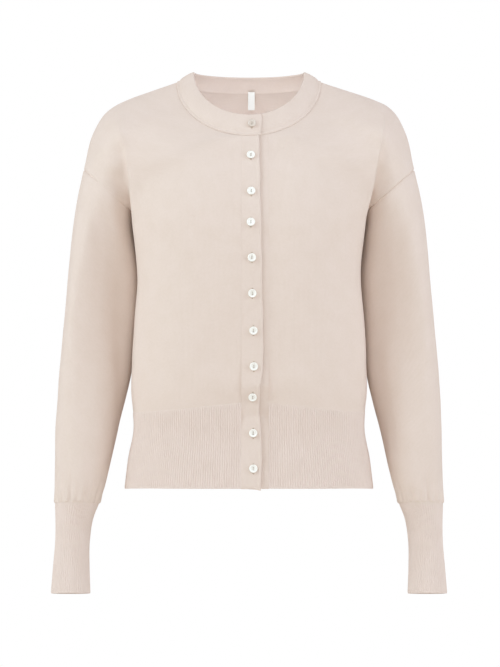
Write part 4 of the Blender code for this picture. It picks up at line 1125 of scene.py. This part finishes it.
def button_frame(row):
    """Centre on the cloth and outward direction of a button."""
    if row is BUTTON_ROWS[0]:
        angle = -np.degrees(np.arcsin(row.x / ((NECK_SEAM.half_width + NECK_EDGE.half_width) / 2)))
        _, normal = neck_frame(angle)
        low, high = neck_point(NECK_SEAM, angle)[0], neck_point(NECK_EDGE, angle)[0]
        share = (row.z - low[2]) / (high[2] - low[2])
        crown = NECKBAND_CROWN * (1 - abs(2 * share - 1))
        return low + (high - low) * share + normal[0] * crown, normal[0]
    above = int(np.searchsorted(BAND_LEVELS, row.z))
    slope = np.diff(BAND_DEPTHS)[above - 1] / np.diff(BAND_LEVELS)[above - 1]
    centre = np.array((row.x, np.interp(row.z, BAND_LEVELS, BAND_DEPTHS), row.z))
    return centre, unit(np.array((0.0, -1.0, slope)))


def button_axes(row):
    """Centre, sideways, upward and outward directions of a button."""
    centre, outward = button_frame(row)
    sideways = unit(np.array((1.0, 0.0, 0.0)) - outward * outward[0])
    return centre, sideways, np.cross(outward, sideways), outward


def bead(path, radius, sides):
    """A thread along a path, with pointed ends."""
    tangent = unit(np.gradient(path, axis=0))
    first = unit(np.cross(tangent, (0.35, 0.25, 0.9)))
    second = np.cross(tangent, first)
    turns = (np.arange(sides) * 2 * np.pi / sides)[None, :, None]
    from_end = np.minimum(np.arange(len(path)), np.arange(len(path))[::-1])
    size = (radius * np.clip(from_end * 0.8 + 0.3, 0, 1))[:, None, None]
    round_path = first[:, None, :] * np.cos(turns) + second[:, None, :] * np.sin(turns)
    return rod(path[:, None, :] + size * round_path, np.arange(sides) * 0.4, running(path))


# sewing yarn: finer and smoother than the knit, with its twist just showing
yarn = knit_material("twisted sewing yarn", "#dccab6", "#cab49d", 0.5, 0.9, 0.05)
bend = np.array((-0.7, -0.35, 0.0, 0.35, 0.7))
parts = []
for row in BUTTON_ROWS:
    centre, sideways, upward, outward = button_axes(row)
    for stitch in range(STITCHES):
        a = 2 * np.pi * stitch / STITCHES
        across = BUTTONHOLE_WIDTH * np.cos(a)
        along = BUTTONHOLE_HALF * np.sign(np.sin(a)) * np.abs(np.sin(a)) ** 0.8
        middle = centre + sideways * across + upward * along
        run = sideways * np.cos(a) + upward * np.sin(a) * 0.7
        path = middle + np.outer(bend, run) * 1.1 + np.outer(0.18 - 0.7 * bend**2, outward)
        parts.append(bead(path, STITCH_RADIUS, 5))
buttonholes = make_piece("buttonhole_stitches", parts, yarn)


# ================================================================ buttons
# Eleven small round two-hole buttons of pearl resin, turned with a raised rim and a shallow dish,
# and sewn to the lower band with doubled yarn. The top one, up on the neckband, is the same resin
# painted a darker beige, as painted shade.

BUTTON_LIFT = 0.4            # how far a button stands off the cloth
HOLE_RADIUS, HOLE_OFFSET = 0.8, 1.6
BUTTON_PROFILE = (           # radius and height, from the under side round the rim to the dish
    (3.6, 0.0), (4.6, 0.12), (5.3, 0.5), (5.66, 1.0), (5.7, 1.5), (5.55, 2.0),
    (5.2, 2.4), (4.75, 2.55), (4.3, 2.42), (3.95, 2.1), (3.5, 1.85), (2.9, 1.75),
)
BUTTON_SIDES, HOLE_SIDES = 56, 16
BUTTON_RIM_ANGLE = 0.8
THREAD_HEIGHT, THREAD_RADIUS = 1.95, 0.32


def pearl_material(name, colour, deep):
    """Pearl resin: a smooth clouded body under a clear polished surface with a faint lustre."""
    material, tree, shader = new_material(name, {
        "Roughness": 0.28, "IOR": 1.54, "Coat Weight": 0.5, "Coat Roughness": 0.12,
    })
    cloud = add_node(tree, "UVMap", uv_map="knit")
    swirl = add_node(
        tree, "TexNoise", {"Vector": cloud, "Scale": 0.35, "Detail": 3.0, "Distortion": 1.6}
    )
    tone = add_node(
        tree, "Mix", {"Factor": swirl, "A": linear(deep), "B": linear(colour)}, data_type="RGBA"
    )
    tree.links.new(tone.outputs["Result"], shader.inputs["Base Color"])
    return material


pearl = pearl_material("pearl resin", "#fffdf6", "#f6f1e6")
# a darker copy of the same pearl resin for the top button: painted shade
shaded_pearl = pearl_material("pearl resin painted in shade", "#e6d9cc", "#dacbbb")
# button thread: tight and fine, a shade whiter than the knit
thread = knit_material("ecru button thread", "#e4dacd", "#d2c5b6", 0.4, 0.7, 0.04)


def button_mesh(row, name, material):
    """A turned button with two real holes through its dish."""
    centre, sideways, upward, outward = button_axes(row)
    work = bmesh.new()
    uv = work.loops.layers.uv.new("knit")

    def place(u, v, height):
        spot = centre + sideways * u + upward * v + outward * (height + BUTTON_LIFT)
        return work.verts.new(tuple(spot * MM))

    def ring(radius, height, sides, shift=0.0):
        turns = np.arange(sides) * 2 * np.pi / sides
        return [place(radius * np.cos(t), radius * np.sin(t) + shift, height) for t in turns]

    rings = [ring(radius, height, BUTTON_SIDES) for radius, height in BUTTON_PROFILE]
    for low, high in zip(rings[:-1], rings[1:]):
        for i in range(BUTTON_SIDES):
            j = (i + 1) % BUTTON_SIDES
            work.faces.new((low[i], low[j], high[j], high[i]))
    dish = BUTTON_PROFILE[-1][1]
    holes = [
        [ring(HOLE_RADIUS, height, HOLE_SIDES, shift) for height in (dish, 0.0)]
        for shift in (-HOLE_OFFSET, HOLE_OFFSET)
    ]
    for level, rim in ((0, rings[-1]), (1, rings[0])):
        edges = []
        for loop in [rim] + [hole[level] for hole in holes]:
            for a, b in zip(loop, loop[1:] + loop[:1]):
                edges.append(work.edges.get((a, b)) or work.edges.new((a, b)))
        bmesh.ops.triangle_fill(work, use_beauty=True, edges=edges)
    for top, bottom in holes:
        for i in range(HOLE_SIDES):
            j = (i + 1) % HOLE_SIDES
            work.faces.new((top[i], top[j], bottom[j], bottom[i]))
    bmesh.ops.recalc_face_normals(work, faces=work.faces)
    for face in work.faces:
        face.smooth = True
        for corner in face.loops:
            spot = np.array(corner.vert.co) / MM - centre
            corner[uv].uv = (spot @ sideways + row.z, spot @ upward)
    mesh = bpy.data.meshes.new(name)
    work.to_mesh(mesh)
    work.free()
    return hang_piece(name, mesh, material, BUTTON_RIM_ANGLE)


thread_parts = []
for number, row in enumerate(BUTTON_ROWS, start=1):
    # the top button takes the darker copy of the resin, painted shade
    piece = button_mesh(row, f"pearl_button_{number:02d}", shaded_pearl if number == 1 else pearl)
    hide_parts(f"button_{number:02d}")
    centre, sideways, upward, outward = button_axes(row)
    for strand in (-0.3, 0.3):
        t = np.linspace(-1, 1, 13)
        arch = 0.45 * (1 - t**4) - 1.6 * np.clip(np.abs(t) - 0.85, 0, 1) / 0.15
        path = centre + sideways * strand + np.outer(t * (HOLE_OFFSET + 0.15), upward)
        path += np.outer(BUTTON_LIFT + THREAD_HEIGHT + arch, outward)
        thread_parts.append(bead(path, THREAD_RADIUS, 6))
threads = make_piece("button_threads", thread_parts, thread)


# ================================================================ neck label
# A narrow folded tab of white woven satin, caught in the back neck seam and hanging free inside. It
# is bare.

LABEL_WIDTH, LABEL_LENGTH, LABEL_THICKNESS = 9.4, 26.0, 0.7
LABEL_X, LABEL_TOP = 3.3, -9.5
LABEL_IN = 5.8               # how far in from the neckline seam it hangs, clear of the neckband
SATIN_THREAD = 0.35

# woven polyester satin: long floats across the tape give it a soft sideways gloss
satin, tree, shader = new_material("woven white satin tape", {
    "Roughness": 0.42, "Anisotropic": 0.4, "Sheen Weight": 0.1,
})
tape = add_node(tree, "UVMap", uv_map="knit")
ways = add_node(tree, "SeparateXYZ", {0: tape})
turns = add_node(
    tree, "Math", {0: ways.outputs["Y"], 1: 2 * np.pi / SATIN_THREAD}, operation="MULTIPLY"
)
floats = add_node(tree, "Math", {0: turns}, operation="SINE")
bump = add_node(tree, "Bump", {"Strength": 1.0, "Distance": 0.03 * MM, "Height": floats})
cloud = add_node(tree, "TexNoise", {"Vector": tape, "Scale": 0.3, "Detail": 2.0})
tone = add_node(
    tree, "Mix", {"Factor": cloud, "A": linear("#f6f2ea"), "B": linear("#fffcf4")}, data_type="RGBA"
)
tree.links.new(tone.outputs["Result"], shader.inputs["Base Color"])
tree.links.new(bump.outputs["Normal"], shader.inputs["Normal"])

label_y = neck_point(NECK_SEAM, 180.0)[0, 1] - LABEL_IN
drop = np.concatenate((
    (0.0, 0.4, 1.0), np.linspace(2.0, LABEL_LENGTH - 1.0, 16), LABEL_LENGTH - np.array((0.4, 0.0)),
))
across = np.concatenate((
    (0.0, 0.3), np.linspace(0.8, LABEL_WIDTH - 0.8, 8), LABEL_WIDTH - np.array((0.3, 0.0)),
))
bend = 0.5 * np.sin(drop / LABEL_LENGTH * np.pi) - 0.9 * (drop / LABEL_LENGTH) ** 2
curl = 0.35 * ((across / LABEL_WIDTH - 0.5) * 2) ** 2
front_net = np.stack(np.broadcast_arrays(
    (LABEL_X - LABEL_WIDTH / 2 + across)[None, :],
    label_y - LABEL_THICKNESS + bend[:, None] - curl[None, :],
    (LABEL_TOP - drop)[:, None],
), axis=-1)
behind_net = front_net + np.array((0.0, LABEL_THICKNESS, 0.0))
label = make_piece("neck_label_tape", [shell(front_net, behind_net)], satin)
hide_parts("neck_label")


# ================================================================ floor, light and camera
# A pale floor far below the garment and a white room, warmer than the lamps. Five soft lights stand
# in front and at the sides, one behind, and a small lamp hangs inside the neck; the camera stands
# level with the waist.

FLOOR_Z = -1.4
ROOM_TINT = (1.14, 1.0, 0.94)
LAMP_TINT = (0.78, 1.0, 1.14)
COOL_TINT = (0.79, 1.0, 1.24)             # the lamp at the wearer's left front is the bluest
INSIDE_TINT = (0.92, 1.0, 1.12)
floor_paint, _, _ = new_material("matte white floor paint", {
    "Base Color": linear("#f8f2e8"), "Roughness": 0.9,
})
bpy.ops.mesh.primitive_circle_add(
    vertices=96, radius=3.2, fill_type="NGON", location=(0, 0, FLOOR_Z)
)
floor = bpy.context.object
floor.name = "studio_floor"
floor.data.materials.append(floor_paint)

world = bpy.data.worlds.new("white studio")
world.use_nodes = True
tree = world.node_tree
tree.nodes.clear()
room = add_node(tree, "Background", {"Color": (*ROOM_TINT, 1.0), "Strength": 0.48})
seen = add_node(tree, "Background", {"Color": (1, 1, 1, 1), "Strength": 1.0})
path_kind = add_node(tree, "LightPath")
both = add_node(tree, "MixShader", {0: path_kind.outputs["Is Camera Ray"], 1: room, 2: seen})
add_node(tree, "OutputWorld", {"Surface": both})
bpy.context.scene.world = world
bpy.context.scene.view_settings.view_transform = "Standard"

WAIST, BACK_NECK, SOFTBOX = (0.0, 0.0, -0.30), (0.0, 0.07, 0.0), 1.3
SoftLight = namedtuple("SoftLight", "name place target size power tint")
for row in (
    SoftLight("left_softbox", (-2.18, -1.26, 1.15), WAIST, SOFTBOX, 24.5, LAMP_TINT),
    SoftLight("left_side_softbox", (-2.79, -0.75, -0.05), WAIST, SOFTBOX, 13.5, LAMP_TINT),
    SoftLight("front_softbox", (0.0, -2.63, 0.93), WAIST, SOFTBOX, 18.5, LAMP_TINT),
    SoftLight("right_softbox", (2.18, -1.26, 1.15), WAIST, SOFTBOX, 18.0, COOL_TINT),
    SoftLight("right_side_softbox", (2.79, -0.75, -0.05), WAIST, SOFTBOX, 13.0, LAMP_TINT),
    SoftLight("back_softbox", (0.0, 2.63, 0.75), WAIST, SOFTBOX, 22.0, LAMP_TINT),
    SoftLight("lamp_inside_the_neck", (0.0, -0.035, -0.15), BACK_NECK, 0.12, 0.143, INSIDE_TINT),
):
    lamp = bpy.data.lights.new(row.name, "AREA")
    lamp.shape = "SQUARE"
    lamp.size = row.size
    lamp.energy = row.power
    lamp.color = row.tint
    holder = bpy.data.objects.new(row.name, lamp)
    holder.location = row.place
    x, y, z = np.array(row.place) - np.array(row.target)
    holder.rotation_euler = (np.arctan2(np.hypot(x, y), z), 0.0, np.arctan2(y, x) + np.pi / 2)
    holder.visible_camera = False
    bpy.context.scene.collection.objects.link(holder)

CAMERA_PLACE, FRAME_HEIGHT, SENSOR = (0.0014, -3.0, -0.3549), 0.9338, 24.0
camera_data = bpy.data.cameras.new("camera")
camera_data.sensor_fit = "VERTICAL"
camera_data.sensor_height = SENSOR
camera_data.lens = SENSOR * -CAMERA_PLACE[1] / FRAME_HEIGHT
camera = bpy.data.objects.new("camera", camera_data)
camera.location = CAMERA_PLACE
camera.rotation_euler = (np.pi / 2, 0.0, 0.0)
bpy.context.scene.collection.objects.link(camera)
bpy.context.scene.camera = camera
